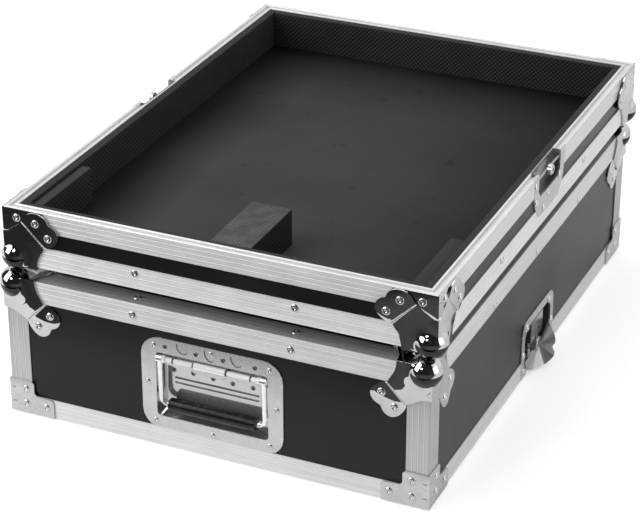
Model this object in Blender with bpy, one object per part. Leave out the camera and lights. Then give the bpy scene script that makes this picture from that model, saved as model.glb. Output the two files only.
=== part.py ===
"""A flight case for a mixer: a deep lid standing on its rim, and on it the foam-lined tray."""

import math

import bmesh
import bpy
from mathutils import Matrix, Vector

# Sizes are metres. Seen from the front, +x is right, -y is the front and +z is up.

# Outline, shared by the lid and the tray
CASE_WIDTH = 0.500
CASE_DEPTH = 0.662
HALF_W = CASE_WIDTH / 2
HALF_D = CASE_DEPTH / 2

# Clearance between pieces that touch
GAP = 0.0003

# Walls, counted inward from the outline
EDGING_T = 0.0013
PLY_T = 0.0089
FOAM_IN = 0.0205
PLY_OUT = EDGING_T + GAP
PLY_IN = PLY_OUT + PLY_T
FOAM_OUT = PLY_IN + GAP

# Edging extrusions
EDGING_WIDTH = 0.026
RIM_WIDTH = 0.023
RIM_CHAMFER = 0.0006
RIM_BEAD_END = 0.0021
RIM_TOP_WIDTH = 0.0116
RIM_LEG_T = 0.0008
RIM_LEG_H = 0.010
EDGING_ROUND = 0.0015
RIB_HEIGHT = 0.0002
RIB_FOOT = 0.0014
RIB_TOP = 0.0006
RIB_DIVISIONS = 4

# Tongue of the lid's rim and groove of the tray's rim
TONGUE_H = 0.002
TONGUE_FROM = 0.0038
TONGUE_TO = 0.0082
TONGUE_TAPER = 0.0003
GROOVE_DEPTH = 0.003
GROOVE_FROM = 0.0034
GROOVE_TO = 0.0088
WEB_T = 0.0015

# Heights of the lid, which stands on its tongue
LID_RIM_Z = TONGUE_H
LID_HEIGHT = 0.1695
LID_TOP_Z = LID_RIM_Z + LID_HEIGHT
LID_PLY_TOP = LID_TOP_Z - PLY_IN - GAP
LID_PLY_LOW = LID_RIM_Z + WEB_T + GAP

# Heights of the tray, which stands on the lid's ball corners
STACK_GAP = 0.0176
TRAY_SHIFT_X = 0.005
TRAY_BASE_Z = LID_TOP_Z + STACK_GAP
TRAY_HEIGHT = 0.0677
TRAY_RIM_Z = TRAY_BASE_Z + TRAY_HEIGHT
TRAY_PLY_TOP = TRAY_RIM_Z - GROOVE_DEPTH - WEB_T - GAP

# Foam of the tray
PAD_T = 0.010
PAD_TOP_Z = TRAY_BASE_Z + PLY_IN + GAP + PAD_T
LINING_BELOW_RIM = 0.0015
BLOCK_BELOW_RIM = 0.005
FOAM_ROUND = 0.0015
BLOCK_LENGTH = 0.1122
CENTRE_BLOCK_LENGTH = 0.1072
LEFT_BLOCK_T = 0.0122
RIGHT_BLOCK_T = 0.0172
CENTRE_BLOCK_X = (-0.016, 0.032)

# Foam of the lid
LID_FOAM_T = 0.010

# Ball corners, each point counted from the case's corner along its two edges
BALL_R = 0.016
BALL_INSET = 0.007
NECK = [(-0.002, 0.0163), (-0.006, 0.0176), (-0.010, 0.0194), (-0.0152, 0.0216)]
BALL_SEGMENTS = 20
CROWN_H = STACK_GAP - (BALL_R - BALL_INSET) - GAP
LEAF_T = 0.0015
LEAF_FOLD = 0.0010
LEAF_LIFT = 0.0015
CRANK_FROM = 0.0735
CRANK_TO = 0.078
LEAF_EDGE = [(0.0384, 0.004), (0.0398, 0.0105), (0.0425, 0.016), (0.0456, 0.021),
             (0.0479, 0.0252), (0.0483, 0.0261), (0.0536, 0.0276), (0.0593, 0.031),
             (0.0642, 0.0356), (0.0668, 0.041), (0.0666, 0.046), (0.0634, 0.0513),
             (0.0588, 0.0543)]
LEAF_NOTCH = 0.0556
LEAF_REACH = 0.038
# Second half of the tray's side leaves, from the notch round the wider upper lobe to the fold
TRAY_LOBE = [(0.0543, 0.0588), (0.0512, 0.0630), (0.0455, 0.0662), (0.0400, 0.0668),
             (0.0345, 0.0662), (0.0293, 0.0636), (0.0259, 0.0595), (0.0226, 0.0540),
             (0.0174, 0.0485), (0.0101, 0.0436), (0.0040, 0.0399), (-GAP - LEAF_T, 0.0390)]

# Corner braces at the rims
BRACE_T = 0.0012
BRACE_ROUND = 0.003
BRACE_FOLD = 0.0008
LID_BRACE = [(0.0533, 0), (0.0533, 0.023), (0.029, 0.024), (0.029, 0.0415)]
TRAY_BRACE = [(0.0485, 0.0003), (0.0485, 0.0232), (0.0345, 0.0232), (0.0232, 0.0118),
              (0.0222, 0.0134), (0.0171, 0.0188), (0.0098, 0.0237), (0.0037, 0.0273),
              (0.0015, 0.0278)]

# Handle, heights counted from the lid's rim plane and depths from the outline
HANDLE_BELOW_EDGING = 0.0092
HANDLE_TRIM = 0.0030
HANDLE_FLANGE_LOW = RIM_WIDTH + GAP
HANDLE_FLANGE_Z = (HANDLE_FLANGE_LOW - HANDLE_TRIM,
                   LID_HEIGHT - EDGING_WIDTH - HANDLE_BELOW_EDGING)
HANDLE_FLANGE_X = 0.084
HANDLE_ROUND = 0.023
HANDLE_WELL_X = 0.0666
HANDLE_BORDER_TOP = 0.0183
HANDLE_BORDER_LOW = 0.0172
HANDLE_SHELF_H = 0.016
HANDLE_SHELF_Z = HANDLE_FLANGE_Z[1] - HANDLE_BORDER_TOP
HANDLE_WELL_Z = (HANDLE_FLANGE_Z[0] + HANDLE_BORDER_LOW, HANDLE_SHELF_Z - HANDLE_SHELF_H)
HANDLE_WELL_ROUND = 0.0045
HANDLE_DEPTH = 0.013
HANDLE_SHELF_DEPTH = 0.0052
HANDLE_WALL = 0.0012
HINGE_BELOW_SHELF = 0.007
HINGE_Z = HANDLE_SHELF_Z - HINGE_BELOW_SHELF
HINGE_DEPTH = 0.0005
HINGE_R = 0.003
HINGE_HALF = HANDLE_WELL_X - GAP
SLEEVE_X = (-0.020, 0.017)
SLEEVE_R = 0.00425
BAIL_X = 0.0618
BAIL_R = 0.003
BAIL_EYE_R = 0.0044
BAIL_EYE_HALF = 0.0031
BAIL_END = 0.0033
BAIL_CORNER = 0.008
HINGE_FIT = 0.00006
COLLAR_LEN = 0.0035
GRIP_ABOVE_WELL = 0.0155
GRIP_Z = HANDLE_WELL_Z[0] + GRIP_ABOVE_WELL
GRIP_DEPTH = 0.0025
GRIP_R = 0.0075
GRIP_HALF = 0.052
GRIP_END = 0.0012
RIB_BARS_BELOW_SHELF = (0.0345, 0.0405)
RIB_BAR_HALF = 0.050
RIB_BAR_R = 0.0011

# Latches, counted along the side from the latch's middle and in height from the rim plane
LATCH_Y = 0.013
LATCH_FLANGE = [(0.0545, 0), (0.0545, 0.057), (0.0525, 0.064), (0.0475, 0.0695), (0.040, 0.0718)]
LATCH_WELL = [(0.037, 0), (0.037, 0.012), (0.045, 0.024), (0.045, 0.050), (0.036, 0.061)]
KEEPER_FLANGE = [(0.0535, 0), (0.0525, 0.016), (0.048, 0.036), (0.038, 0.050), (0.030, 0.054)]
KEEPER_WELL = [(0.037, 0), (0.037, 0.021), (0.030, 0.0295)]
WELL_FLOOR = 0.0091
WELL_WALL = 0.0012
WELL_BACK = WELL_FLOOR + EDGING_T
RIM_CUT = 0.0107
TURN_Z = 0.021
TURN_R = 0.008
TURN_CAP_R = 0.0095
TURN_CAP_ROUND = 0.0006
TURN_OUT = 0.0028
WING_T = 0.0014
# Wing points: out from the outline, along the side and up, both from the turning axis
WING = [(0.0012, -0.044, -0.001), (0.0014, -0.041, -0.010), (0.0018, -0.035, -0.0165),
        (0.0045, -0.026, -0.0195), (0.0090, -0.0175, -0.0195), (0.0135, -0.011, -0.0185),
        (0.0165, -0.0075, -0.0165), (0.0195, -0.004, -0.0135), (0.0215, -0.001, -0.0100),
        (0.0215, 0.0, -0.0055), (0.0195, 0.0, -0.0025), (0.0185, 0.0, 0.0)]
BRIDGE_HALF = 0.020
BRIDGE_Z = (0.0312, 0.0575)
BRIDGE_DEPTH = (0.0012, 0.0027)
BRIDGE_LEG = 0.0015
BRIDGE_SLOT = (0.0045, 0.0011)
BRIDGE_SLOT_AT = ((-0.007, 0.040), (0.007, 0.040))
HOOK_HALF = 0.0165
HOOK_DEPTH = (0.0053, 0.0068)
HOOK_Z = (0.0012, 0.052)
HOOK_TRAVEL = 0.014
HOOK_SLOT_HALF = TURN_R + 0.0007
HOOK_LIP_T = 0.0015
HOOK_LIP_DEPTH = 0.0018
KEEPER_BAR_R = 0.0017
KEEPER_BAR_DEPTH = 0.0030
KEEPER_BAR_Z = 0.0075
KEEPER_BOSS_R = 0.0062
KEEPER_BOSS_DEPTH = (-0.0035, 0.0017)
KEEPER_BOSS_Z = 0.0085
KEEPER_BOSS_ROUND = 0.0012
KEEPER_BOSS_HOLE = 0.0022
KEEPER_SHELF_END = HOOK_HALF + 0.0007
KEEPER_SHELF_DEPTH = (0.0013, 0.0046)
KEEPER_SHELF_Z = (0.0066, 0.0078)

# How far a cutter runs past a face, and past a whole piece
PAST = 0.004
FAR = 0.2

SIDES = {"left": -1, "right": 1}
CORNERS = {"fl": (-1, -1), "fr": (1, -1), "bl": (-1, 1), "br": (1, 1)}


# Scene and materials

def clear_scene():
    for item in list(bpy.data.objects):
        bpy.data.objects.remove(item, do_unlink=True)


def make_material(name, colour, roughness, metallic):
    material = bpy.data.materials.new(name)
    material.use_nodes = True
    shader = material.node_tree.nodes["Principled BSDF"]
    shader.inputs["Base Color"].default_value = (*colour, 1.0)
    shader.inputs["Roughness"].default_value = roughness
    shader.inputs["Metallic"].default_value = metallic
    return material


def aluminium():
    return make_material("aluminium", (0.72, 0.72, 0.73), 0.32, 1.0)


def chrome():
    return make_material("chrome", (0.78, 0.78, 0.79), 0.12, 1.0)


def zinc():
    return make_material("zinc_plate", (0.70, 0.70, 0.71), 0.30, 1.0)


def laminate():
    return make_material("laminate", (0.022, 0.022, 0.023), 0.35, 0.0)


def foam():
    return make_material("foam", (0.035, 0.035, 0.036), 0.90, 0.0)


def rubber():
    return make_material("rubber", (0.03, 0.03, 0.03), 0.60, 0.0)


# Meshes and Booleans

def finish(name, bm, look, angle=32):
    """Makes the object of a bmesh, with its normals outward and its sharp edges marked."""
    bmesh.ops.recalc_face_normals(bm, faces=bm.faces)
    mesh = bpy.data.meshes.new(name)
    bm.to_mesh(mesh)
    bm.free()
    item = bpy.data.objects.new(name, mesh)
    bpy.context.scene.collection.objects.link(item)
    mesh.materials.append(look)
    shade(item, angle)
    return item


def shade(item, angle=32):
    item.data.shade_smooth()
    item.data.set_sharp_from_angle(angle=math.radians(angle))


def combine(item, other, operation):
    """Joins the other body to this one, or cuts it away, and removes it."""
    step = item.modifiers.new(operation.lower(), "BOOLEAN")
    step.operation = operation
    step.solver = "EXACT"
    step.object = other
    bpy.context.view_layer.update()
    graph = bpy.context.evaluated_depsgraph_get()
    result = bpy.data.meshes.new_from_object(item.evaluated_get(graph))
    item.modifiers.clear()
    old = item.data
    item.data = result
    result.name = item.name
    bpy.data.meshes.remove(old)
    bpy.data.objects.remove(other, do_unlink=True)
    return item


def cut(item, *others):
    for other in others:
        combine(item, other, "DIFFERENCE")
    tidy(item)
    return item


def join(item, *others):
    for other in others:
        combine(item, other, "UNION")
    tidy(item)
    return item


def tidy(item, merge=0.00002):
    """Merges points that a Boolean left almost together and dissolves what lies flat."""
    bm = bmesh.new()
    bm.from_mesh(item.data)
    bmesh.ops.remove_doubles(bm, verts=bm.verts, dist=merge)
    bmesh.ops.dissolve_limit(bm, angle_limit=math.radians(0.3), verts=bm.verts, edges=bm.edges)
    bm.to_mesh(item.data)
    bm.free()
    shade(item)


def scratch(bm):
    return finish("scratch", bm, bpy.data.materials[0])


def block(low, high):
    """A box between two corners, as a bmesh."""
    bm = bmesh.new()
    bmesh.ops.create_cube(bm, size=1.0)
    size = [h - l for l, h in zip(low, high)]
    middle = [(h + l) / 2 for l, h in zip(low, high)]
    bmesh.ops.scale(bm, vec=size, verts=bm.verts)
    bmesh.ops.translate(bm, vec=middle, verts=bm.verts)
    return bm


def prism(outline, low, high, place):
    """A closed outline of (a, b) points between two depths. place turns (a, b, depth) into a point."""
    bm = bmesh.new()
    rings = [[bm.verts.new(place(a, b, depth)) for a, b in outline] for depth in (low, high)]
    bm.faces.new(rings[0])
    bm.faces.new(rings[1][::-1])
    for k in range(len(outline)):
        after = (k + 1) % len(outline)
        bm.faces.new([rings[0][k], rings[0][after], rings[1][after], rings[1][k]])
    return bm


def revolve(profile, segments, place):
    """Turns a closed profile of (along, radius) points about its axis. place gets (along, a, b)."""
    bm = bmesh.new()
    rings = []
    for along, radius in profile:
        if radius == 0:
            rings.append([bm.verts.new(place(along, 0, 0))])
            continue
        turns = [2 * math.pi * k / segments for k in range(segments)]
        ring = [bm.verts.new(place(along, radius * math.cos(t), radius * math.sin(t))) for t in turns]
        rings.append(ring)
    open_ends = profile[0][1] == 0
    last = len(rings) - 1 if open_ends else len(rings)
    for k in range(last):
        skin(bm, rings[k], rings[(k + 1) % len(rings)], segments)
    return bm


def skin(bm, ring, after, segments):
    for k in range(segments):
        n = (k + 1) % segments
        if len(ring) == 1:
            bm.faces.new([ring[0], after[n], after[k]])
        elif len(after) == 1:
            bm.faces.new([ring[k], ring[n], after[0]])
        else:
            bm.faces.new([ring[k], ring[n], after[n], after[k]])


def grow(outline, distance):
    """Moves each edge of a convex outline outward, the points in anticlockwise order."""
    grown = []
    count = len(outline)
    for k in range(count):
        before, here, after = (Vector(outline[(k + n) % count]) for n in (-1, 0, 1))
        first = (here - before).normalized()
        second = (after - here).normalized()
        side = Vector((first.y, -first.x)) + Vector((second.y, -second.x))
        grown.append(tuple(here + side * distance / (1 + first.dot(second))))
    return grown


def mirrored(half):
    """The whole outline, anticlockwise, of the points on its right half from low to high."""
    return half + [(-a, b) for a, b in reversed(half)]


def round_rectangle(a, b, radius, steps=5):
    points = []
    for turn, (sa, sb) in enumerate(((1, 1), (-1, 1), (-1, -1), (1, -1))):
        for k in range(steps + 1):
            angle = math.pi / 2 * (turn + k / steps)
            points.append((sa * (a - radius) + radius * math.cos(angle),
                           sb * (b - radius) + radius * math.sin(angle)))
    return points


def on_side(sign, z_from, up, shift=0.0):
    """Places (along the side, height from the rim, depth) on the left or right face."""
    def place(a, b, depth):
        return (shift + sign * (HALF_W - depth), LATCH_Y + a, z_from + up * b)
    return place


def on_front(a, b, depth):
    """Places (across, height from the lid's rim, depth) on the front face."""
    return (a, -HALF_D + depth, LID_RIM_Z + b)


# Edging

def ribbed(length):
    """Points (along, depth) of a ribbed face, from its first rib to its last."""
    points = []
    for k in range(1, RIB_DIVISIONS):
        middle = length * k / RIB_DIVISIONS
        points += [(middle - RIB_FOOT / 2, RIB_HEIGHT), (middle - RIB_TOP / 2, 0),
                   (middle + RIB_TOP / 2, 0), (middle + RIB_FOOT / 2, RIB_HEIGHT)]
    return points


def angle_profile():
    """The section of the angle edging: (in from the first face, in from the second face)."""
    bead = EDGING_ROUND + RIB_TOP
    leg = [(RIB_HEIGHT, EDGING_WIDTH)]
    leg += [(depth, along) for along, depth in reversed(ribbed(EDGING_WIDTH))]
    leg += [(RIB_HEIGHT, bead + RIB_FOOT / 2), (0, bead), (0, EDGING_ROUND)]
    bend = EDGING_ROUND * (1 - math.sqrt(0.5))
    other = [(b, a) for a, b in reversed(leg)]
    inner = [(EDGING_WIDTH, EDGING_T), (EDGING_T, EDGING_T), (EDGING_T, EDGING_WIDTH)]
    return leg + [(bend, bend)] + other + inner


def rim_profile(tongue):
    """The section of the rim edging: (in from the outline, away from the rim plane)."""
    leg = [(EDGING_T, RIM_WIDTH), (RIB_HEIGHT, RIM_WIDTH)]
    leg += [(depth, along) for along, depth in reversed(ribbed(RIM_WIDTH))]
    bevel = RIM_CHAMFER
    bead = RIM_BEAD_END + (RIB_FOOT - RIB_TOP) / 2
    leg += [(RIB_HEIGHT, bead), (0, RIM_BEAD_END), (0, bevel), (bevel, 0)]
    if tongue:
        top = [(TONGUE_FROM, 0), (TONGUE_FROM + TONGUE_TAPER, -TONGUE_H),
               (TONGUE_TO - TONGUE_TAPER, -TONGUE_H), (TONGUE_TO, 0)]
        under = WEB_T
    else:
        top = [(GROOVE_FROM - bevel, 0), (GROOVE_FROM, bevel), (GROOVE_FROM, GROOVE_DEPTH),
               (GROOVE_TO, GROOVE_DEPTH), (GROOVE_TO, bevel), (GROOVE_TO + bevel, 0)]
        under = GROOVE_DEPTH + WEB_T
    inner = [(RIM_TOP_WIDTH - bevel, 0), (RIM_TOP_WIDTH, bevel), (RIM_TOP_WIDTH, RIM_LEG_H),
             (RIM_TOP_WIDTH - RIM_LEG_T, RIM_LEG_H), (RIM_TOP_WIDTH - RIM_LEG_T, under),
             (EDGING_T, under)]
    return leg + top + inner


def ring(profile, z_from, up, shift=0.0):
    """Carries a section of (inward, away) points once round the case's outline."""
    bm = bmesh.new()
    rings = []
    for sx, sy in ((1, 1), (-1, 1), (-1, -1), (1, -1)):
        rings.append([bm.verts.new((shift + sx * (HALF_W - a), sy * (HALF_D - a), z_from + up * b))
                      for a, b in profile])
    count = len(profile)
    for k in range(4):
        here, after = rings[k], rings[(k + 1) % 4]
        for n in range(count):
            m = (n + 1) % count
            bm.faces.new([here[n], here[m], after[m], after[n]])
    return bm


def mitred_length(profile, side, z_from, up):
    """One side of the ring, its ends mitred and a clearance short of its neighbours."""
    end = GAP / math.sqrt(2)
    sign = 1 if side in ("back", "right") else -1

    def place(a, b, turn):
        if side in SIDES:
            return (sign * (HALF_W - a), turn * (HALF_D - a - end), z_from + up * b)
        return (turn * (HALF_W - a - end), sign * (HALF_D - a), z_from + up * b)

    return prism(profile, -1, 1, place)


def make_corner_edging(name, sx, sy, look):
    low = LID_RIM_Z + RIM_WIDTH + GAP
    high = LID_TOP_Z - EDGING_WIDTH - GAP
    bm = prism(angle_profile(), low, high,
               lambda a, b, z: (sx * (HALF_W - a), sy * (HALF_D - b), z))
    return finish(name, bm, look)


# Panels and foam

def make_panel(name, low, high, look, cutters=()):
    item = finish(name, block(low, high), look)
    if cutters:
        cut(item, *cutters)
    return item


def wall_panels(prefix, low, high, shift, look, cutters):
    """Front and back panels over the full width, side panels between them."""
    across = HALF_W - PLY_OUT
    along = HALF_D - PLY_IN - GAP
    for side, sign in (("front", -1), ("back", 1)):
        ends = sorted((sign * (HALF_D - PLY_OUT), sign * (HALF_D - PLY_IN)))
        make_panel(prefix + "_panel_" + side, (shift - across, ends[0], low),
                   (shift + across, ends[1], high), look, cutters.get(side, ()))
    for side, sign in SIDES.items():
        ends = sorted((shift + sign * (HALF_W - PLY_OUT), shift + sign * (HALF_W - PLY_IN)))
        make_panel(prefix + "_panel_" + side, (ends[0], -along, low), (ends[1], along, high),
                   look, cutters.get(side, ()))


def flat_panel(name, low, shift, look):
    across = HALF_W - PLY_OUT
    along = HALF_D - PLY_OUT
    make_panel(name, (shift - across, -along, low), (shift + across, along, low + PLY_T), look)


def soft_block(name, low, high, look):
    bm = block(low, high)
    bmesh.ops.bevel(bm, geom=bm.edges, offset=FOAM_ROUND, segments=2, affect="EDGES", profile=0.5)
    return finish(name, bm, look)


def lining_section():
    """The section of a tray wall lining: (in from the outline, down from the tray's rim)."""
    beside_leg = RIM_TOP_WIDTH + GAP
    leg_end = RIM_LEG_H + GAP
    low = TRAY_RIM_Z - (TRAY_BASE_Z + PLY_IN + GAP)
    top = LINING_BELOW_RIM
    bend = FOAM_ROUND * (1 - math.sqrt(0.5))
    return [(beside_leg, top), (FOAM_IN - FOAM_ROUND, top), (FOAM_IN - bend, top + bend),
            (FOAM_IN, top + FOAM_ROUND), (FOAM_IN, low), (FOAM_OUT, low), (FOAM_OUT, leg_end),
            (beside_leg, leg_end)]


def make_tray_linings(look):
    along = HALF_D - RIM_TOP_WIDTH - GAP
    across = HALF_W - FOAM_IN - GAP
    for side, sign in SIDES.items():
        bm = prism(lining_section(), -along, along,
                   lambda a, b, y: (TRAY_SHIFT_X + sign * (HALF_W - a), y, TRAY_RIM_Z - b))
        finish("tray_lining_" + side, bm, look)
    for side, sign in (("front", -1), ("back", 1)):
        bm = prism(lining_section(), -across, across,
                   lambda a, b, x: (TRAY_SHIFT_X + x, sign * (HALF_D - a), TRAY_RIM_Z - b))
        finish("tray_lining_" + side, bm, look)


def block_spans():
    """The front blocks: (left face, right face, back face), standing against the front lining."""
    wall_x = HALF_W - FOAM_IN - GAP
    front = -(HALF_D - FOAM_IN - GAP)
    spans = {"left": (-wall_x, LEFT_BLOCK_T - wall_x, front + BLOCK_LENGTH),
             "centre": (*CENTRE_BLOCK_X, front + CENTRE_BLOCK_LENGTH),
             "right": (wall_x - RIGHT_BLOCK_T, wall_x, front + BLOCK_LENGTH)}
    return {side: (TRAY_SHIFT_X + near, TRAY_SHIFT_X + far, back)
            for side, (near, far, back) in spans.items()}


def make_tray_blocks(look):
    low = PAD_TOP_Z - PAD_T
    high = TRAY_RIM_Z - BLOCK_BELOW_RIM
    front = -(HALF_D - FOAM_IN - GAP)
    for side, (near, far, back) in block_spans().items():
        soft_block("tray_block_" + side, (near, front, low), (far, back, high), look)


def make_floor_pad(look):
    """The floor's foam, notched round the front blocks."""
    across = HALF_W - FOAM_IN - GAP
    along = HALF_D - FOAM_IN - GAP
    low = PAD_TOP_Z - PAD_T
    notches = [scratch(block((near - GAP, -along - PAST, low - PAST),
                             (far + GAP, back + GAP, PAD_TOP_Z + PAST)))
               for near, far, back in block_spans().values()]
    make_panel("tray_floor_pad", (TRAY_SHIFT_X - across, -along, low),
               (TRAY_SHIFT_X + across, along, PAD_TOP_Z), look, notches)


def make_lid_lining(look):
    """One open foam box inside the lid, hollowed, with a pocket behind the handle's well."""
    beside_leg = RIM_LEG_H + GAP
    low = LID_RIM_Z + beside_leg
    high = LID_PLY_TOP
    outer = (HALF_W - FOAM_OUT, HALF_D - FOAM_OUT)
    inner = (HALF_W - FOAM_IN, HALF_D - FOAM_IN)
    item = finish("lid_lining", block((-outer[0], -outer[1], low), (outer[0], outer[1], high)), look)
    hollow = block((-inner[0], -inner[1], low - PAST), (inner[0], inner[1], high - LID_FOAM_T))
    reach = HANDLE_WELL_X + HANDLE_WALL + GAP
    heights = (LID_RIM_Z + HANDLE_WELL_Z[0] - HANDLE_WALL - GAP,
               LID_RIM_Z + HANDLE_WELL_Z[1] + HANDLE_WALL + GAP)
    depth = -HALF_D + HANDLE_DEPTH + HANDLE_WALL + GAP
    pocket = block((-reach, -HALF_D, heights[0]), (reach, depth, heights[1]))
    return cut(item, scratch(hollow), scratch(pocket))


# Ball corners

def leaf_outline(lobe):
    """The leaf's outline, its second half either given or mirrored from the first."""
    half = [(LEAF_REACH, -GAP - LEAF_T)] + LEAF_EDGE
    other = lobe or [(b, a) for a, b in reversed(half)]
    corner = (-GAP - LEAF_T, -GAP - LEAF_T)
    return [corner] + half + [(LEAF_NOTCH, LEAF_NOTCH)] + other


def make_leaf(lift, place, lobe=None):
    """One leaf on a face. Beyond the crank line it steps by lift, away from the case if positive."""
    bm = bmesh.new()
    bm.faces.new([bm.verts.new((a, b, 0)) for a, b in leaf_outline(lobe)])
    for line in (CRANK_FROM, CRANK_TO):
        at = Vector((line / 2, line / 2, 0))
        bmesh.ops.bisect_plane(bm, geom=bm.verts[:] + bm.edges[:] + bm.faces[:], plane_co=at,
                               plane_no=Vector((1, 1, 0)))
    grown = bmesh.ops.extrude_face_region(bm, geom=bm.faces[:])
    top = [part for part in grown["geom"] if isinstance(part, bmesh.types.BMVert)]
    bmesh.ops.translate(bm, vec=(0, 0, LEAF_T), verts=top)
    for vert in bm.verts:
        a, b, depth = vert.co
        ramp = min(1, max(0, (a + b - CRANK_FROM) / (CRANK_TO - CRANK_FROM)))
        vert.co = place(a, b, GAP + depth + ramp * lift)
    return scratch(bm)


def ball_and_neck():
    """The ball and its flared neck, turned about the corner's diagonal."""
    profile = [(BALL_R, 0)]
    for degrees in (14, 28, 42, 56, 70, 84):
        angle = math.radians(degrees)
        profile.append((BALL_R * math.cos(angle), BALL_R * math.sin(angle)))
    profile += NECK + [(NECK[-1][0], 0)]
    turned = Vector((1, 0, 0)).rotation_difference(Vector((1, 1, 1))).to_matrix()
    centre = Vector((-BALL_INSET,) * 3)
    return scratch(revolve(profile, BALL_SEGMENTS, lambda t, a, b: centre + turned @ Vector((t, a, b))))


def fold_edges(item, level, radius):
    """Rounds the edges where two leaves meet, which lie at the same level on two axes."""
    bm = bmesh.new()
    bm.from_mesh(item.data)
    folds = []
    for edge in bm.edges:
        one, two = (vert.co for vert in edge.verts)
        at = [abs(one[k] - level) < 1e-6 and abs(two[k] - level) < 1e-6 for k in range(3)]
        if sum(at) == 2:
            folds.append(edge)
    bmesh.ops.bevel(bm, geom=folds, offset=radius, segments=2, affect="EDGES", profile=0.5)
    bm.to_mesh(item.data)
    bm.free()


def corner_body(side_lift, crown, lobe=None):
    """A ball corner for the corner where the case lies at negative x, y and z."""
    level = GAP + LEAF_T
    leaves = [make_leaf(side_lift, lambda a, b, d: (d, -a, -b), lobe),
              make_leaf(side_lift, lambda a, b, d: (-a, d, -b), lobe),
              make_leaf(-LEAF_LIFT, lambda a, b, d: (-a, -b, d))]
    plates = join(*leaves)
    fold_edges(plates, level, LEAF_FOLD)
    ball = cut(ball_and_neck(), scratch(block((-FAR,) * 3, (GAP,) * 3)))
    if crown:
        cut(ball, scratch(block((-FAR, -FAR, CROWN_H), (FAR,) * 3)))
    return join(ball, plates)


def place_corner(source, name, sx, sy, sz, origin, look):
    """A copy of the corner piece, mirrored to one corner of the case."""
    mesh = source.data.copy()
    mesh.transform(Matrix.Translation(origin) @ Matrix.Diagonal((sx, sy, sz, 1)))
    if sx * sy * sz < 0:
        mesh.flip_normals()
    mesh.name = name
    mesh.materials.clear()
    mesh.materials.append(look)
    item = bpy.data.objects.new(name, mesh)
    bpy.context.scene.collection.objects.link(item)
    shade(item)
    return item


def make_ball_corners(look):
    lid = corner_body(-LEAF_LIFT, True)
    tray = corner_body(LEAF_LIFT, False, TRAY_LOBE)
    for tag, (sx, sy) in CORNERS.items():
        at = (sx * HALF_W, sy * HALF_D, LID_TOP_Z)
        place_corner(lid, "lid_ball_corner_" + tag, sx, sy, 1, at, look)
        at = (TRAY_SHIFT_X + sx * HALF_W, sy * HALF_D, TRAY_BASE_Z)
        place_corner(tray, "tray_ball_corner_" + tag, sx, sy, -1, at, look)
    bpy.data.objects.remove(lid, do_unlink=True)
    bpy.data.objects.remove(tray, do_unlink=True)


# Rim braces

def brace_body(outline, rounded):
    """A folded plate for the rim corner where the case lies at negative x and y, z up from the rim."""
    level = GAP + BRACE_T
    points = [(-level, outline[0][1])] + outline + [(-level, outline[-1][1])]
    points = round_corners(points, rounded, BRACE_ROUND)
    plates = [scratch(prism(points, GAP, level, lambda a, b, d: (d, -a, b))),
              scratch(prism(points, GAP, level, lambda a, b, d: (-a, d, b)))]
    item = join(*plates)
    fold_edges(item, level, BRACE_FOLD)
    return item


def round_corners(outline, which, radius, steps=3):
    """Rounds the chosen points of an outline with short arcs."""
    points = []
    for k, here in enumerate(outline):
        if k not in which:
            points.append(here)
            continue
        here = Vector(here)
        start = here + (Vector(outline[k - 1]) - here).normalized() * radius
        end = here + (Vector(outline[(k + 1) % len(outline)]) - here).normalized() * radius
        for n in range(steps + 1):
            t = n / steps
            points.append(tuple(start * (1 - t) ** 2 + here * 2 * t * (1 - t) + end * t * t))
    return points


def make_braces(lid_look, tray_look):
    lid = brace_body(LID_BRACE, (1, 2, 4))
    tray = brace_body(TRAY_BRACE, (1,))
    for tag, (sx, sy) in CORNERS.items():
        at = (sx * HALF_W, sy * HALF_D, LID_RIM_Z)
        place_corner(lid, "lid_rim_brace_" + tag, sx, sy, 1, at, lid_look)
        at = (TRAY_SHIFT_X + sx * HALF_W, sy * HALF_D, TRAY_RIM_Z)
        place_corner(tray, "tray_rim_brace_" + tag, sx, sy, -1, at, tray_look)
    bpy.data.objects.remove(lid, do_unlink=True)
    bpy.data.objects.remove(tray, do_unlink=True)


# Handle

def handle_flange_outline():
    """The rounded plate, trimmed straight where it meets the rim edging."""
    low, high = HANDLE_FLANGE_Z
    middle = (low + high) / 2
    outline = round_rectangle(HANDLE_FLANGE_X, high - middle, HANDLE_ROUND)
    return [(a, max(b + middle, HANDLE_FLANGE_LOW)) for a, b in outline]


def well_outline(low, high, extra=0.0):
    middle = (low + high) / 2
    half = (high - low) / 2
    shape = round_rectangle(HANDLE_WELL_X + extra, half + extra, HANDLE_WELL_ROUND, 3)
    return [(a, b + middle) for a, b in shape]


def make_handle_dish(look):
    low, high = HANDLE_WELL_Z
    deep = well_outline(low, high)
    shelf = well_outline(low, HANDLE_SHELF_Z)
    item = finish("handle_dish", prism(handle_flange_outline(), 0, EDGING_T, on_front), look)
    join(item, scratch(prism(well_outline(low, high, HANDLE_WALL), EDGING_T / 2,
                             HANDLE_DEPTH + HANDLE_WALL, on_front)),
         scratch(prism(well_outline(low, HANDLE_SHELF_Z, HANDLE_WALL), EDGING_T / 2,
                       HANDLE_SHELF_DEPTH + HANDLE_WALL, on_front)))
    cut(item, scratch(prism(deep, -PAST, HANDLE_DEPTH, on_front)),
        scratch(prism(shelf, -PAST, HANDLE_SHELF_DEPTH, on_front)))
    half = RIB_BAR_HALF
    for below in RIB_BARS_BELOW_SHELF:
        height = HANDLE_SHELF_Z - below
        bar = revolve([(-half, 0), (-half, RIB_BAR_R), (half, RIB_BAR_R), (half, 0)], 8,
                      lambda x, a, b: on_front(x, height + a, HANDLE_DEPTH + b))
        join(item, scratch(bar))
    return item


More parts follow.
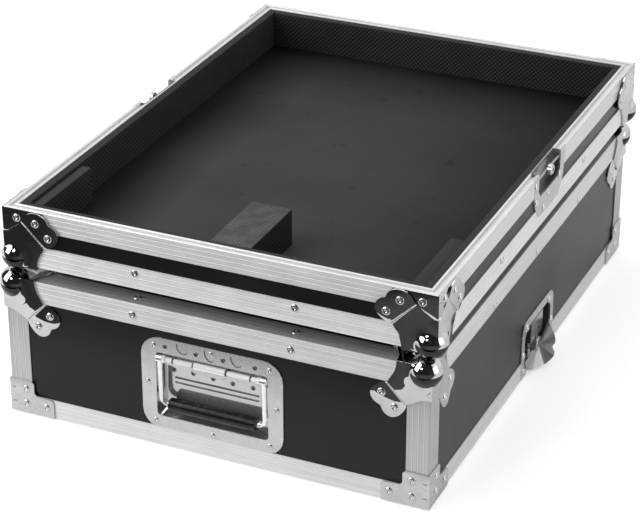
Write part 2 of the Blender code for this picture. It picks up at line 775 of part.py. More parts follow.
def make_hinge_rod(look):
    inner = BAIL_X - BAIL_EYE_HALF - GAP
    collar = inner - COLLAR_LEN
    steps = [(-HINGE_HALF, HINGE_R), (-inner, HINGE_R), (-inner, SLEEVE_R), (-collar, SLEEVE_R),
             (-collar, HINGE_R), (SLEEVE_X[0], HINGE_R), (SLEEVE_X[0], SLEEVE_R),
             (SLEEVE_X[1], SLEEVE_R), (SLEEVE_X[1], HINGE_R), (collar, HINGE_R),
             (collar, SLEEVE_R), (inner, SLEEVE_R), (inner, HINGE_R), (HINGE_HALF, HINGE_R)]
    profile = [(-HINGE_HALF, 0)] + steps + [(HINGE_HALF, 0)]
    bm = revolve(profile, 16, lambda x, a, b: on_front(x, HINGE_Z + a, HINGE_DEPTH + b))
    return finish("handle_hinge_rod", bm, look)


def bail_path():
    """Centre line of the bail's wire from one eye round to the other: (across, height, depth)."""
    slope = (GRIP_DEPTH - HINGE_DEPTH) / (HINGE_Z - GRIP_Z)
    flat = [(BAIL_X, HINGE_Z - BAIL_END)]
    for k in range(6):
        angle = math.pi / 2 * k / 5
        flat.append((BAIL_X - BAIL_CORNER * (1 - math.cos(angle)),
                     GRIP_Z + BAIL_CORNER * (1 - math.sin(angle))))
    flat += [(-a, b) for a, b in reversed(flat)]
    return [Vector((a, b, HINGE_DEPTH + slope * (HINGE_Z - b))) for a, b in flat]


def wire(path, radius, segments, place):
    """A round wire along a path of points."""
    bm = bmesh.new()
    rings = []
    for k, point in enumerate(path):
        before = path[max(k - 1, 0)]
        after = path[min(k + 1, len(path) - 1)]
        along = (after - before).normalized()
        normal = Vector((0, 0, 1)).cross(along).normalized()
        other = along.cross(normal)
        turns = [2 * math.pi * n / segments for n in range(segments)]
        rings.append([bm.verts.new(place(*(point + radius * (math.cos(t) * normal
                                                             + math.sin(t) * other))))
                      for t in turns])
    for here, after in zip(rings, rings[1:]):
        skin(bm, here, after, segments)
    bm.faces.new(rings[0])
    bm.faces.new(rings[-1][::-1])
    return bm


def make_bail(look):
    item = finish("handle_bail", wire(bail_path(), BAIL_R, 12, on_front), look)
    for sign in (-1, 1):
        middle = sign * BAIL_X
        ends = (middle - BAIL_EYE_HALF, middle + BAIL_EYE_HALF)
        bore = HINGE_R + HINGE_FIT
        eye = revolve([(ends[0], 0), (ends[0], BAIL_EYE_R), (ends[1], BAIL_EYE_R), (ends[1], 0)],
                      20, lambda x, a, b: on_front(x, HINGE_Z + a, HINGE_DEPTH + b))
        hole = revolve([(ends[0] - PAST, 0), (ends[0] - PAST, bore), (ends[1] + PAST, bore),
                        (ends[1] + PAST, 0)],
                       20, lambda x, a, b: on_front(x, HINGE_Z + a, HINGE_DEPTH + b))
        join(item, scratch(eye))
        cut(item, scratch(hole))
    return item


def make_grip(look):
    bore = BAIL_R + GAP
    profile = [(-GRIP_HALF, bore), (-GRIP_HALF, GRIP_R - GRIP_END), (-GRIP_HALF + GRIP_END, GRIP_R),
               (GRIP_HALF - GRIP_END, GRIP_R), (GRIP_HALF, GRIP_R - GRIP_END), (GRIP_HALF, bore)]
    bm = revolve(profile, 24, lambda x, a, b: on_front(x, GRIP_Z + a, GRIP_DEPTH + b))
    return finish("handle_grip", bm, look)


# Latches

def well_shape(half, past_rim):
    """The well's outline, open past the rim plane or ending on it."""
    outline = mirrored(half)
    return [(a, -past_rim if b == 0 else b) for a, b in outline]


def wall_shape(half):
    """The well's outer wall, which ends on the rim plane."""
    return [(a, max(b, 0)) for a, b in grow(well_shape(half, PAST), WELL_WALL)]


def dish_body(name, flange, well, place, look):
    """A flange plate with a well pressed into it, open towards the rim."""
    item = finish(name, prism(mirrored(flange), 0, EDGING_T, place), look)
    join(item, scratch(prism(wall_shape(well), EDGING_T / 2, WELL_BACK, place)))
    return cut(item, scratch(prism(well_shape(well, PAST), -PAST, WELL_FLOOR, place)))


def flange_cutter(flange, place):
    """Clears the edging's outer leg for a flange."""
    shape = [(a, b if b > 0 else -PAST) for a, b in grow(mirrored(flange), GAP)]
    return scratch(prism(shape, -PAST, PLY_OUT, place))


def well_cutter(well, depth, place):
    shape = grow(well_shape(well, PAST), WELL_WALL + GAP)
    return scratch(prism(shape, -PAST, depth, place))


def add_bridge(item, place):
    """The guide over the hook, with its two legs on the well's floor."""
    low, high = BRIDGE_Z
    front, back = BRIDGE_DEPTH
    plate = [(BRIDGE_HALF, low), (BRIDGE_HALF, high), (-BRIDGE_HALF, high), (-BRIDGE_HALF, low)]
    join(item, scratch(prism(plate, front, WELL_FLOOR + EDGING_T / 2, place)))
    inside = BRIDGE_HALF - BRIDGE_LEG
    tunnel = [(inside, low - PAST), (inside, high + PAST / 4), (-inside, high + PAST / 4),
              (-inside, low - PAST)]
    cut(item, scratch(prism(tunnel, back, WELL_FLOOR, place)))
    across, up = BRIDGE_SLOT
    for a, b in BRIDGE_SLOT_AT:
        slot = [(a + across / 2, b - up), (a + across / 2, b + up), (a - across / 2, b + up),
                (a - across / 2, b - up)]
        cut(item, scratch(prism(slot, -PAST, back + PAST / 4, place)))


def make_hook(name, place, look):
    """The sliding hook, slotted round the turning drum, its lip bent out at the rim."""
    low, high = HOOK_Z
    plate = [(HOOK_HALF, low), (HOOK_HALF, high), (-HOOK_HALF, high), (-HOOK_HALF, low)]
    item = finish(name, prism(plate, *HOOK_DEPTH, place), look)
    edge = low + HOOK_LIP_T
    lip = [(HOOK_HALF, low), (HOOK_HALF, edge), (-HOOK_HALF, edge), (-HOOK_HALF, low)]
    join(item, scratch(prism(lip, HOOK_LIP_DEPTH, HOOK_DEPTH[1], place)))
    half = HOOK_SLOT_HALF
    slot = [(half, TURN_Z - half), (half, TURN_Z + half + HOOK_TRAVEL),
            (-half, TURN_Z + half + HOOK_TRAVEL), (-half, TURN_Z - half)]
    return cut(item, scratch(prism(slot, HOOK_DEPTH[0] - PAST, HOOK_DEPTH[1] + PAST, place)))


def wing_mesh(place):
    """The twisted wing: a fan of points round the turning axis, given its thickness."""
    turned = [(out, -along, -up) for out, along, up in WING]
    edge = WING + turned[-2::-1]
    bm = bmesh.new()
    hub = bm.verts.new((TURN_OUT - WING_T, 0, 0))
    rim = [bm.verts.new(point) for point in edge]
    for one, two in zip(rim, rim[1:]):
        bm.faces.new([hub, one, two])
    bmesh.ops.recalc_face_normals(bm, faces=bm.faces)
    bmesh.ops.solidify(bm, geom=bm.faces[:], thickness=WING_T)
    for vert in bm.verts:
        out, along, up = vert.co
        vert.co = place(along, TURN_Z + up, -max(out, GAP * 2))
    return scratch(bm)


def make_turn(name, place, look):
    """The turning drum with its cap and wing."""
    profile = [(WELL_FLOOR - GAP, 0), (WELL_FLOOR - GAP, TURN_R), (-GAP * 2, TURN_R),
               (-GAP * 2, TURN_CAP_R), (-TURN_OUT + TURN_CAP_ROUND, TURN_CAP_R),
               (-TURN_OUT, TURN_CAP_R - TURN_CAP_ROUND), (-TURN_OUT, 0)]
    bm = revolve(profile, 24, lambda depth, a, b: place(a, TURN_Z + b, depth))
    item = finish(name, bm, look)
    return join(item, wing_mesh(place))


def make_keeper(name, place, look):
    """The tray's dish with the bar that the hook catches, its boss and a shelf beside it."""
    item = dish_body(name, KEEPER_FLANGE, KEEPER_WELL, place, look)
    half = KEEPER_WELL[0][0] + WELL_WALL / 2
    bar = revolve([(-half, 0), (-half, KEEPER_BAR_R), (half, KEEPER_BAR_R), (half, 0)], 12,
                  lambda s, a, b: place(s, KEEPER_BAR_Z + a, KEEPER_BAR_DEPTH + b))
    front, back = KEEPER_BOSS_DEPTH
    bevel = KEEPER_BOSS_ROUND
    boss = revolve([(front, 0), (front, KEEPER_BOSS_R - bevel), (front + bevel, KEEPER_BOSS_R),
                    (back, KEEPER_BOSS_R), (back, 0)],
                   20, lambda depth, a, b: place(a, KEEPER_BOSS_Z + b, depth))
    dimple = revolve([(front - PAST, 0), (front - PAST, KEEPER_BOSS_HOLE),
                      (front + bevel * 2, KEEPER_BOSS_HOLE), (front + bevel * 2, 0)],
                     12, lambda depth, a, b: place(a, KEEPER_BOSS_Z + b, depth))
    low, high = KEEPER_SHELF_Z
    near = -KEEPER_SHELF_END
    shelf = [(near, low), (near, high), (-half, high), (-half, low)]
    join(item, scratch(bar), scratch(boss), scratch(prism(shelf, *KEEPER_SHELF_DEPTH, place)))
    return cut(item, scratch(dimple))


def make_latches(dish_look, turn_look):
    for side, sign in SIDES.items():
        lid = on_side(sign, LID_RIM_Z, 1)
        tray = on_side(sign, TRAY_RIM_Z, -1, TRAY_SHIFT_X)
        dish = dish_body("latch_dish_" + side, LATCH_FLANGE, LATCH_WELL, lid, dish_look)
        add_bridge(dish, lid)
        make_hook("latch_hook_" + side, lid, turn_look)
        make_turn("latch_turn_" + side, lid, turn_look)
        make_keeper("keeper_dish_" + side, tray, dish_look)


# Assembly

def board_cutter(well, place):
    """A plain rectangle through the ply, clear of the well's outer wall."""
    clear = WELL_WALL + GAP
    half = max(a for a, b in well) + clear
    high = max(b for a, b in well) + clear
    shape = [(half, -PAST), (half, high), (-half, high), (-half, -PAST)]
    return scratch(prism(shape, -PAST, PLY_IN + PAST, place))


def side_cutters(well, z_from, up, shift):
    return {side: (board_cutter(well, on_side(sign, z_from, up, shift)),)
            for side, sign in SIDES.items()}


def handle_cutter():
    shape = well_outline(HANDLE_WELL_Z[0], HANDLE_SHELF_Z, HANDLE_WALL + GAP)
    return scratch(prism(shape, -PAST, PLY_IN + PAST, on_front))


def make_edging(look):
    finish("lid_top_edging", ring(angle_profile(), LID_TOP_Z, -1), look)
    rims = {side: finish("lid_rim_edging_" + side,
                         mitred_length(rim_profile(True), side, LID_RIM_Z, 1), look)
            for side in ("front", "back", "left", "right")}
    base = finish("tray_bottom_edging", ring(angle_profile(), TRAY_BASE_Z, 1, TRAY_SHIFT_X), look)
    upper = finish("tray_rim_edging", ring(rim_profile(False), TRAY_RIM_Z, -1, TRAY_SHIFT_X), look)
    for side, sign in SIDES.items():
        lid = on_side(sign, LID_RIM_Z, 1)
        tray = on_side(sign, TRAY_RIM_Z, -1, TRAY_SHIFT_X)
        cut(rims[side], flange_cutter(LATCH_FLANGE, lid), well_cutter(LATCH_WELL, RIM_CUT, lid))
        cut(upper, flange_cutter(KEEPER_FLANGE, tray), well_cutter(KEEPER_WELL, RIM_CUT, tray))
        cut(base, flange_cutter(KEEPER_FLANGE, tray))
    for tag, (sx, sy) in CORNERS.items():
        make_corner_edging("lid_corner_edging_" + tag, sx, sy, look)


def move_origin(name, point):
    """Puts an object's origin on its joint's axis and leaves its shape where it is."""
    item = bpy.data.objects[name]
    item.data.transform(Matrix.Translation(-Vector(point)))
    item.location = point


def place_axes():
    """Origins of the pieces that swing, turn or slide, and the empty that carries the tray."""
    for name in ("handle_bail", "handle_grip"):
        move_origin(name, on_front(0, HINGE_Z, HINGE_DEPTH))
    for side, sign in SIDES.items():
        axis = on_side(sign, LID_RIM_Z, 1)(0, TURN_Z, 0)
        move_origin("latch_turn_" + side, axis)
        move_origin("latch_hook_" + side, axis)
    carrier = bpy.data.objects.new("tray_lift_axis", None)
    carrier.location = (TRAY_SHIFT_X, 0, TRAY_BASE_Z)
    bpy.context.scene.collection.objects.link(carrier)
    bpy.context.view_layer.update()
    for item in bpy.context.scene.objects:
        if item.type == "MESH" and item.name.startswith(("tray_", "keeper_")):
            item.parent = carrier
            item.matrix_parent_inverse = carrier.matrix_world.inverted()


def build():
    clear_scene()
    metal = aluminium()
    bright = chrome()
    plate = zinc()
    board = laminate()
    soft = foam()
    lid_cutters = side_cutters(LATCH_WELL, LID_RIM_Z, 1, 0)
    lid_cutters["front"] = (handle_cutter(),)
    wall_panels("lid", LID_PLY_LOW, LID_PLY_TOP, 0, board, lid_cutters)
    flat_panel("lid_panel_top", LID_TOP_Z - PLY_IN, 0, board)
    tray_cutters = side_cutters(KEEPER_WELL, TRAY_RIM_Z, -1, TRAY_SHIFT_X)
    tray_low = TRAY_BASE_Z + PLY_IN + GAP
    wall_panels("tray", tray_low, TRAY_PLY_TOP, TRAY_SHIFT_X, board, tray_cutters)
    flat_panel("tray_panel_bottom", TRAY_BASE_Z + PLY_OUT, TRAY_SHIFT_X, board)
    make_edging(metal)
    make_ball_corners(bright)
    make_braces(plate, bright)
    make_lid_lining(soft)
    make_floor_pad(soft)
    make_tray_linings(soft)
    make_tray_blocks(soft)
    make_handle_dish(bright)
    make_hinge_rod(bright)
    make_bail(bright)
    make_grip(rubber())
    make_latches(plate, bright)
    place_axes()


build()
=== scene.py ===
import math

import bmesh
import bpy
from mathutils import Matrix, Vector


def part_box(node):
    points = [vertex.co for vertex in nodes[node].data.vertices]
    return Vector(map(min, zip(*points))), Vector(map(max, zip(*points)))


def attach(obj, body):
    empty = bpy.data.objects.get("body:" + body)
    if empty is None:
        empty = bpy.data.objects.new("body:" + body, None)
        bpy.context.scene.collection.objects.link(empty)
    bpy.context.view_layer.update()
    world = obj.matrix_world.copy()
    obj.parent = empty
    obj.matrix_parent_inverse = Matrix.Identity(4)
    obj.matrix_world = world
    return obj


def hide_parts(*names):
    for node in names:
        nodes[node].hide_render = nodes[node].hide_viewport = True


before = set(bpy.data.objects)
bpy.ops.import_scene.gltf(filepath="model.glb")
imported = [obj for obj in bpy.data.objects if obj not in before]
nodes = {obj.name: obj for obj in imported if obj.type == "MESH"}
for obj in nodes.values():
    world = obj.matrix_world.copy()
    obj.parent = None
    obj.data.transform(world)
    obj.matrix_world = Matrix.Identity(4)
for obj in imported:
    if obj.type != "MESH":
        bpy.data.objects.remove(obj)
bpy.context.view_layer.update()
scene = bpy.context.scene
corners = {"fl": (-1, -1), "fr": (1, -1), "bl": (-1, 1), "br": (1, 1)}
sides = {"left": -1, "right": 1}
mm = 0.001
ballInset = 0.0086  # from each face of the case to the middle of a ball

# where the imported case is, so that every piece below follows it
topLow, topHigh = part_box("lid_top_edging")
trayLow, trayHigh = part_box("tray_rim_edging")
at = {
    "halfW": topHigh.x,
    "halfD": topHigh.y,
    "lidTop": topHigh.z,
    "lidRim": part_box("lid_rim_brace_fl")[0].z,
    "trayBase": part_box("tray_bottom_edging")[0].z,
    "trayRim": trayHigh.z,
    "shift": (trayLow.x + trayHigh.x) / 2,
    "latchY": (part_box("latch_dish_left")[0].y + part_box("latch_dish_left")[1].y) / 2,
}
print("frame loaded,", len(nodes), "nodes")


# materials

def newMaterial(name, colour, rough, metal=0.0):
    material = bpy.data.materials.new(name)
    material.use_nodes = True
    tree = material.node_tree
    shader = tree.nodes["Principled BSDF"]
    shader.inputs["Base Color"].default_value = (colour, colour, colour * 1.01, 1)
    shader.inputs["Roughness"].default_value = rough
    shader.inputs["Metallic"].default_value = metal
    place = tree.nodes.new("ShaderNodeTexCoord").outputs["Object"]
    return material, tree, shader, place


def add(tree, kind, inputs=None, **settings):
    node = tree.nodes.new("ShaderNode" + kind)
    for key, value in settings.items():
        setattr(node, key, value)
    for key, value in (inputs or {}).items():
        if isinstance(value, bpy.types.NodeSocket):
            tree.links.new(value, node.inputs[key])
        else:
            node.inputs[key].default_value = value
    return node


def maths(tree, operation, a, b=0.0):
    return add(tree, "Math", {0: a, 1: b}, operation=operation).outputs[0]


def stretched(tree, place, scale):
    return add(tree, "Mapping", {"Vector": place, "Scale": scale}).outputs[0]


def noiseOf(tree, place, scale, detail, rough):
    inputs = {"Vector": place, "Scale": scale, "Detail": detail, "Roughness": rough}
    return add(tree, "TexNoise", inputs).outputs["Fac"]


def between(tree, value, fromLow, fromHigh, low, high):
    inputs = {"Value": value, "From Min": fromLow, "From Max": fromHigh, "To Min": low, "To Max": high}
    return add(tree, "MapRange", inputs).outputs["Result"]


def pushBump(tree, shader, height, distance, strength, under=None):
    inputs = {"Height": height, "Distance": distance, "Strength": strength}
    if under:
        inputs["Normal"] = under
    normal = add(tree, "Bump", inputs).outputs["Normal"]
    tree.links.new(normal, shader.inputs["Normal"])
    return normal


def edgingMaterial(name, level=None, width=0.026, shift=0.0, ribbedTop=True, tone=1.0, paintedUpShade=1.0):
    # extruded aluminium: faint drawing lines run along each length, with a painted highlight along each rib's top and
    # painted shade at its feet
    look = {"flat": (0.66 * tone, 0.78 * tone), "rib": min(0.98, 1.08 * tone), "paintedFootShade": 0.50 * tone,
            "rough": (0.30, 0.42), "line": 620, "along": 4, "metal": 0.42, "ribHalf": 0.00032, "footHalf": 0.00085,
            "paintedArrisHighlight": 0.0009}
    material, tree, shader, place = newMaterial(name, 0.66, 0.36, look["metal"])
    parts = add(tree, "SeparateXYZ", {0: place}).outputs
    facing = add(tree, "SeparateXYZ", {0: add(tree, "NewGeometry").outputs["Normal"]}).outputs
    fromX = maths(tree, "SUBTRACT", at["halfW"], maths(tree, "ABSOLUTE", maths(tree, "SUBTRACT", parts[0], shift)))
    fromY = maths(tree, "SUBTRACT", at["halfD"], maths(tree, "ABSOLUTE", parts[1]))
    up = maths(tree, "GREATER_THAN", maths(tree, "ABSOLUTE", facing[2]), 0.7)

    def linesAlong(axis):
        scale = [look["line"]] * 3
        scale[axis] = look["along"]
        return noiseOf(tree, stretched(tree, place, scale), 1.0, 3.0, 0.6)

    if level is None:
        sideways = maths(tree, "GREATER_THAN", maths(tree, "ABSOLUTE", facing[0]), 0.7)
        along = add(tree, "Mix", {0: sideways, 2: fromX, 3: fromY}).outputs[0]
        streak = linesAlong(2)
    else:
        fromRim = maths(tree, "ABSOLUTE", maths(tree, "SUBTRACT", parts[2], level))
        nearest = maths(tree, "MINIMUM", fromX, fromY)
        along = add(tree, "Mix", {0: up, 2: fromRim, 3: nearest}).outputs[0]
        front = maths(tree, "LESS_THAN", fromY, fromX)
        streak = add(tree, "Mix", {0: front, 2: linesAlong(1), 3: linesAlong(0)}).outputs[0]
    pitch = width / 4
    step = maths(tree, "FRACT", maths(tree, "ADD", maths(tree, "DIVIDE", along, pitch), 0.5))
    away = maths(tree, "MULTIPLY", maths(tree, "ABSOLUTE", maths(tree, "SUBTRACT", step, 0.5)), pitch)
    # painted highlight on each rib's top and painted shade at its feet
    rib = between(tree, away, look["ribHalf"] * 0.8, look["ribHalf"] * 1.6, 1.0, 0.0)
    paintedFootShade = between(tree, away, look["footHalf"] * 0.75, look["footHalf"] * 1.15, 1.0, 0.0)
    if not ribbedTop:
        rib = maths(tree, "MULTIPLY", rib, maths(tree, "SUBTRACT", 1.0, up))
        paintedFootShade = maths(tree, "MULTIPLY", paintedFootShade, maths(tree, "SUBTRACT", 1.0, up))
    # painted highlight along the rounded edge at the level, on faces that don't face up
    if level is not None:
        paintedArrisHighlight = between(tree, fromRim, look["paintedArrisHighlight"] * 0.6, look["paintedArrisHighlight"], 1.0, 0.0)
        rib = maths(tree, "MAXIMUM", rib, maths(tree, "MULTIPLY", paintedArrisHighlight, maths(tree, "SUBTRACT", 1.0, up)))
    cloud = noiseOf(tree, place, 30.0, 3.0, 0.55)
    marks = maths(tree, "ADD", maths(tree, "MULTIPLY", streak, 0.75), maths(tree, "MULTIPLY", cloud, 0.25))
    flat = between(tree, marks, 0.38, 0.62, *look["flat"])
    flat = add(tree, "Mix", {0: paintedFootShade, 2: flat, 3: look["paintedFootShade"]}).outputs[0]
    colour = add(tree, "Mix", {0: rib, 2: flat, 3: look["rib"]}).outputs[0]
    # painted shade: faces facing up or down get a darker copy of the colour
    if paintedUpShade < 1:
        colour = maths(tree, "MULTIPLY", colour, between(tree, up, 0.0, 1.0, 1.0, paintedUpShade))
    tree.links.new(colour, shader.inputs["Base Color"])
    tree.links.new(between(tree, cloud, 0.3, 0.7, *look["rough"]), shader.inputs["Roughness"])
    pushBump(tree, shader, streak, 0.00004, 0.3)
    return material


def chromeMaterial(name, colour, rough, wave, balls=()):
    material, tree, shader, place = newMaterial(name, colour, rough[0], 1.0)
    smudge = noiseOf(tree, place, 60.0, 5.0, 0.65)
    tree.links.new(between(tree, smudge, 0.42, 0.75, *rough), shader.inputs["Roughness"])
    tone = between(tree, smudge, 0.3, 0.75, colour, colour * 0.86)
    # painted reflection: the underside of each ball is darkened in colour, standing in for the dark seat around it
    # that it mirrors
    paintedSocket = {"inset": ballInset, "edge": (0.0181, 0.0185), "middle": (-0.0002, 0.0006), "dark": 0.07}
    parts = add(tree, "SeparateXYZ", {0: place}).outputs
    for shift, level in balls:
        x = maths(tree, "ABSOLUTE", maths(tree, "SUBTRACT", parts[0], shift))
        x = maths(tree, "SUBTRACT", x, at["halfW"] - paintedSocket["inset"])
        y = maths(tree, "SUBTRACT", maths(tree, "ABSOLUTE", parts[1]), at["halfD"] - paintedSocket["inset"])
        z = maths(tree, "SUBTRACT", parts[2], level)
        offset = add(tree, "CombineXYZ", {0: x, 1: y, 2: z}).outputs[0]
        reach = add(tree, "VectorMath", {0: offset}, operation="LENGTH").outputs["Value"]
        onBall = between(tree, reach, *paintedSocket["edge"], 1.0, 0.0)
        below = between(tree, z, *paintedSocket["middle"], 1.0, 0.0)
        shade = between(tree, maths(tree, "MULTIPLY", onBall, below), 0.0, 1.0, 1.0, paintedSocket["dark"])
        tone = maths(tree, "MULTIPLY", tone, shade)
    tree.links.new(tone, shader.inputs["Base Color"])
    slow = noiseOf(tree, place, 95.0, 2.0, 0.4)
    under = pushBump(tree, shader, slow, wave, 0.35)
    if not balls:
        fine = noiseOf(tree, stretched(tree, place, (1400, 600, 1400)), 1.0, 2.0, 0.7)
        pushBump(tree, shader, fine, 0.00002, 0.3, under)
    return material


def plateMaterial(name, colour, rough, grain, metal, well=None):
    # plated steel with very faint blotches; well is its wall's axis, level and shift, the darker tone inside (painted
    # shade in the recess) and the finish inside
    look = {"pale": 1.03, "dull": 0.95, "press": (0.0008, 0.0030)}
    material, tree, shader, place = newMaterial(name, colour, rough[0], metal)
    blotch = noiseOf(tree, place, 60.0, 4.0, 0.55)
    tone = between(tree, blotch, 0.35, 0.7, colour * look["pale"], colour * look["dull"])
    finish = between(tree, blotch, 0.3, 0.7, *rough)
    if well:
        axis, level, shift, paintedWellShade, polish = well
        parts = add(tree, "SeparateXYZ", {0: place}).outputs
        out = maths(tree, "ABSOLUTE", maths(tree, "SUBTRACT", parts[axis], shift))
        depth = maths(tree, "SUBTRACT", level, out)
        inside = between(tree, depth, *look["press"], 0.0, 1.0)
        # painted shade: darker tone inside the pressed well
        tone = maths(tree, "MULTIPLY", tone, between(tree, inside, 0.0, 1.0, 1.0, paintedWellShade))
        finish = maths(tree, "MULTIPLY", finish, between(tree, inside, 0.0, 1.0, 1.0, polish))
    tree.links.new(tone, shader.inputs["Base Color"])
    tree.links.new(finish, shader.inputs["Roughness"])
    fine = noiseOf(tree, place, 900.0, 3.0, 0.7)
    pushBump(tree, shader, fine, grain, 0.4)
    return material


def laminateMaterial():
    look = {"dark": 0.005, "light": 0.008, "rough": (0.27, 0.36), "grain": 420}
    material, tree, shader, place = newMaterial("laminate", 0.0065, 0.3)
    shader.inputs["Specular IOR Level"].default_value = 0.32
    haze = noiseOf(tree, place, 7.0, 3.0, 0.5)
    tree.links.new(between(tree, haze, 0.3, 0.7, look["dark"], look["light"]), shader.inputs["Base Color"])
    tree.links.new(between(tree, haze, 0.3, 0.7, *look["rough"]), shader.inputs["Roughness"])
    leather = noiseOf(tree, place, look["grain"], 2.0, 0.5)
    pushBump(tree, shader, leather, 0.00003, 0.25)
    return material


def weave(tree, place, pitch):
    # over and under threads of the fabric on the foam
    parts = add(tree, "SeparateXYZ", {0: place}).outputs
    turn = 2 * math.pi / pitch
    u = maths(tree, "SINE", maths(tree, "MULTIPLY", parts[0], turn))
    v = maths(tree, "SINE", maths(tree, "MULTIPLY", parts[1], turn))
    return maths(tree, "MULTIPLY", u, v)


def floorFoamMaterial():
    look = {"low": 0.036, "high": 0.053, "pitch": 0.0024, "left": (0.016, 0.100, 0.13, 1.0),
            "right": (0.0, 0.22, 0.38, 1.05), "back": (0.0, 0.155, 0.10, 1.0), "front": (-0.2, 0.2, 1.12, 0.95)}
    low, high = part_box("tray_floor_pad")
    material, tree, shader, place = newMaterial("floor_foam", 0.022, 0.82)
    shader.inputs["Specular IOR Level"].default_value = 0.12
    patch = noiseOf(tree, place, 5.5, 3.0, 0.5)
    threads = weave(tree, place, look["pitch"])
    lint = noiseOf(tree, place, 1500.0, 2.0, 0.8)
    pits = noiseOf(tree, place, 46.0, 2.0, 0.5)
    tone = maths(tree, "ADD", patch, maths(tree, "MULTIPLY", threads, 0.05))
    tone = maths(tree, "ADD", tone, maths(tree, "MULTIPLY", maths(tree, "SUBTRACT", lint, 0.5), 0.30))
    tone = between(tree, tone, 0.25, 0.75, look["low"], look["high"])
    dent = between(tree, pits, 0.24, 0.32, 0.72, 1.0)
    # painted shade: the floor is darkened along the left, right and back walls and grows lighter towards the front,
    # standing in for the walls' shadow and the fall of the light
    parts = add(tree, "SeparateXYZ", {0: place}).outputs
    fromLeft = maths(tree, "SUBTRACT", parts[0], low.x)
    fromRight = maths(tree, "SUBTRACT", high.x, parts[0])
    fromBack = maths(tree, "SUBTRACT", high.y, parts[1])
    wander = maths(tree, "MULTIPLY", maths(tree, "SUBTRACT", patch, 0.5), 0.03)
    dustAndShade = between(tree, maths(tree, "ADD", fromLeft, wander), *look["left"])
    dustAndShade = maths(tree, "MULTIPLY", dustAndShade, between(tree, fromRight, *look["right"]))
    dustAndShade = maths(tree, "MULTIPLY", dustAndShade, between(tree, maths(tree, "ADD", fromBack, wander), *look["back"]))
    dustAndShade = maths(tree, "MULTIPLY", dustAndShade, between(tree, parts[1], *look["front"]))
    colour = maths(tree, "MULTIPLY", maths(tree, "MULTIPLY", tone, dent), dustAndShade)
    tree.links.new(colour, shader.inputs["Base Color"])
    height = maths(tree, "ADD", maths(tree, "MULTIPLY", threads, 0.5), lint)
    pushBump(tree, shader, height, 0.0002, 0.6)
    return material


def liningMaterial(name, wallTone=(0.006, 0.034), topTone=0.030, ribs=False):
    # foam embossed with a lattice of small knobs, plainer on its cut tops
    look = {"knob": 0.0040, "wall": wallTone, "top": topTone, "ribTop": (0.050, 0.150), "worn": (0.40, 0.54)}
    material, tree, shader, place = newMaterial(name, 0.03, 0.8)
    shader.inputs["Specular IOR Level"].default_value = 0.2
    parts = add(tree, "SeparateXYZ", {0: place}).outputs
    turn = 2 * math.pi / look["knob"]
    along = maths(tree, "ADD", parts[0], parts[1])
    u = maths(tree, "COSINE", maths(tree, "MULTIPLY", maths(tree, "ADD", along, parts[2]), turn * 0.7071))
    v = maths(tree, "COSINE", maths(tree, "MULTIPLY", maths(tree, "SUBTRACT", along, parts[2]), turn * 0.7071))
    knobs = between(tree, maths(tree, "ADD", u, v), -0.6, 1.4, 0.0, 1.0)
    lint = noiseOf(tree, place, 1300.0, 3.0, 0.75)
    cloud = noiseOf(tree, place, 14.0, 4.0, 0.6)
    facing = add(tree, "SeparateXYZ", {0: add(tree, "NewGeometry").outputs["Normal"]}).outputs[2]
    up = between(tree, facing, 0.5, 0.85, 0.0, 1.0)
    wall = between(tree, knobs, 0.0, 1.0, *look["wall"])
    wall = maths(tree, "MULTIPLY", wall, between(tree, cloud, 0.3, 0.7, 0.8, 1.2))
    top = maths(tree, "MULTIPLY", between(tree, lint, 0.3, 0.7, 0.7, 1.25), look["top"])
    topHeight = maths(tree, "MULTIPLY", lint, 0.5)
    if ribs:
        a = maths(tree, "COSINE", maths(tree, "MULTIPLY", parts[0], turn * 0.92))
        b = maths(tree, "COSINE", maths(tree, "MULTIPLY", parts[1], turn * 0.92))
        flatKnobs = between(tree, maths(tree, "MULTIPLY", a, b), -0.4, 0.9, 0.0, 1.0)
        worn = noiseOf(tree, place, 38.0, 3.0, 0.55)
        flatKnobs = maths(tree, "MULTIPLY", flatKnobs, between(tree, worn, *look["worn"], 0.2, 1.0))
        top = maths(tree, "MULTIPLY", between(tree, flatKnobs, 0.0, 1.0, *look["ribTop"]),
                    between(tree, cloud, 0.3, 0.7, 0.85, 1.15))
        topHeight = maths(tree, "ADD", topHeight, maths(tree, "MULTIPLY", flatKnobs, 2.0))
    tree.links.new(add(tree, "Mix", {0: up, 2: wall, 3: top}).outputs[0], shader.inputs["Base Color"])
    wallHeight = maths(tree, "ADD", maths(tree, "MULTIPLY", lint, 0.3), knobs)
    height = add(tree, "Mix", {0: up, 2: wallHeight, 3: topHeight}).outputs[0]
    pushBump(tree, shader, height, 0.00035, 0.8)
    return material


def rubberMaterial():
    material, tree, shader, place = newMaterial("rubber", 0.005, 0.3)
    shader.inputs["Specular IOR Level"].default_value = 0.42
    dustAndShade = noiseOf(tree, place, 140.0, 5.0, 0.7)
    tree.links.new(between(tree, dustAndShade, 0.35, 0.7, 0.003, 0.007), shader.inputs["Base Color"])
    tree.links.new(between(tree, dustAndShade, 0.3, 0.7, 0.20, 0.30), shader.inputs["Roughness"])
    grain = noiseOf(tree, place, 1500.0, 2.0, 0.6)
    pushBump(tree, shader, grain, 0.00005, 0.35)
    return material


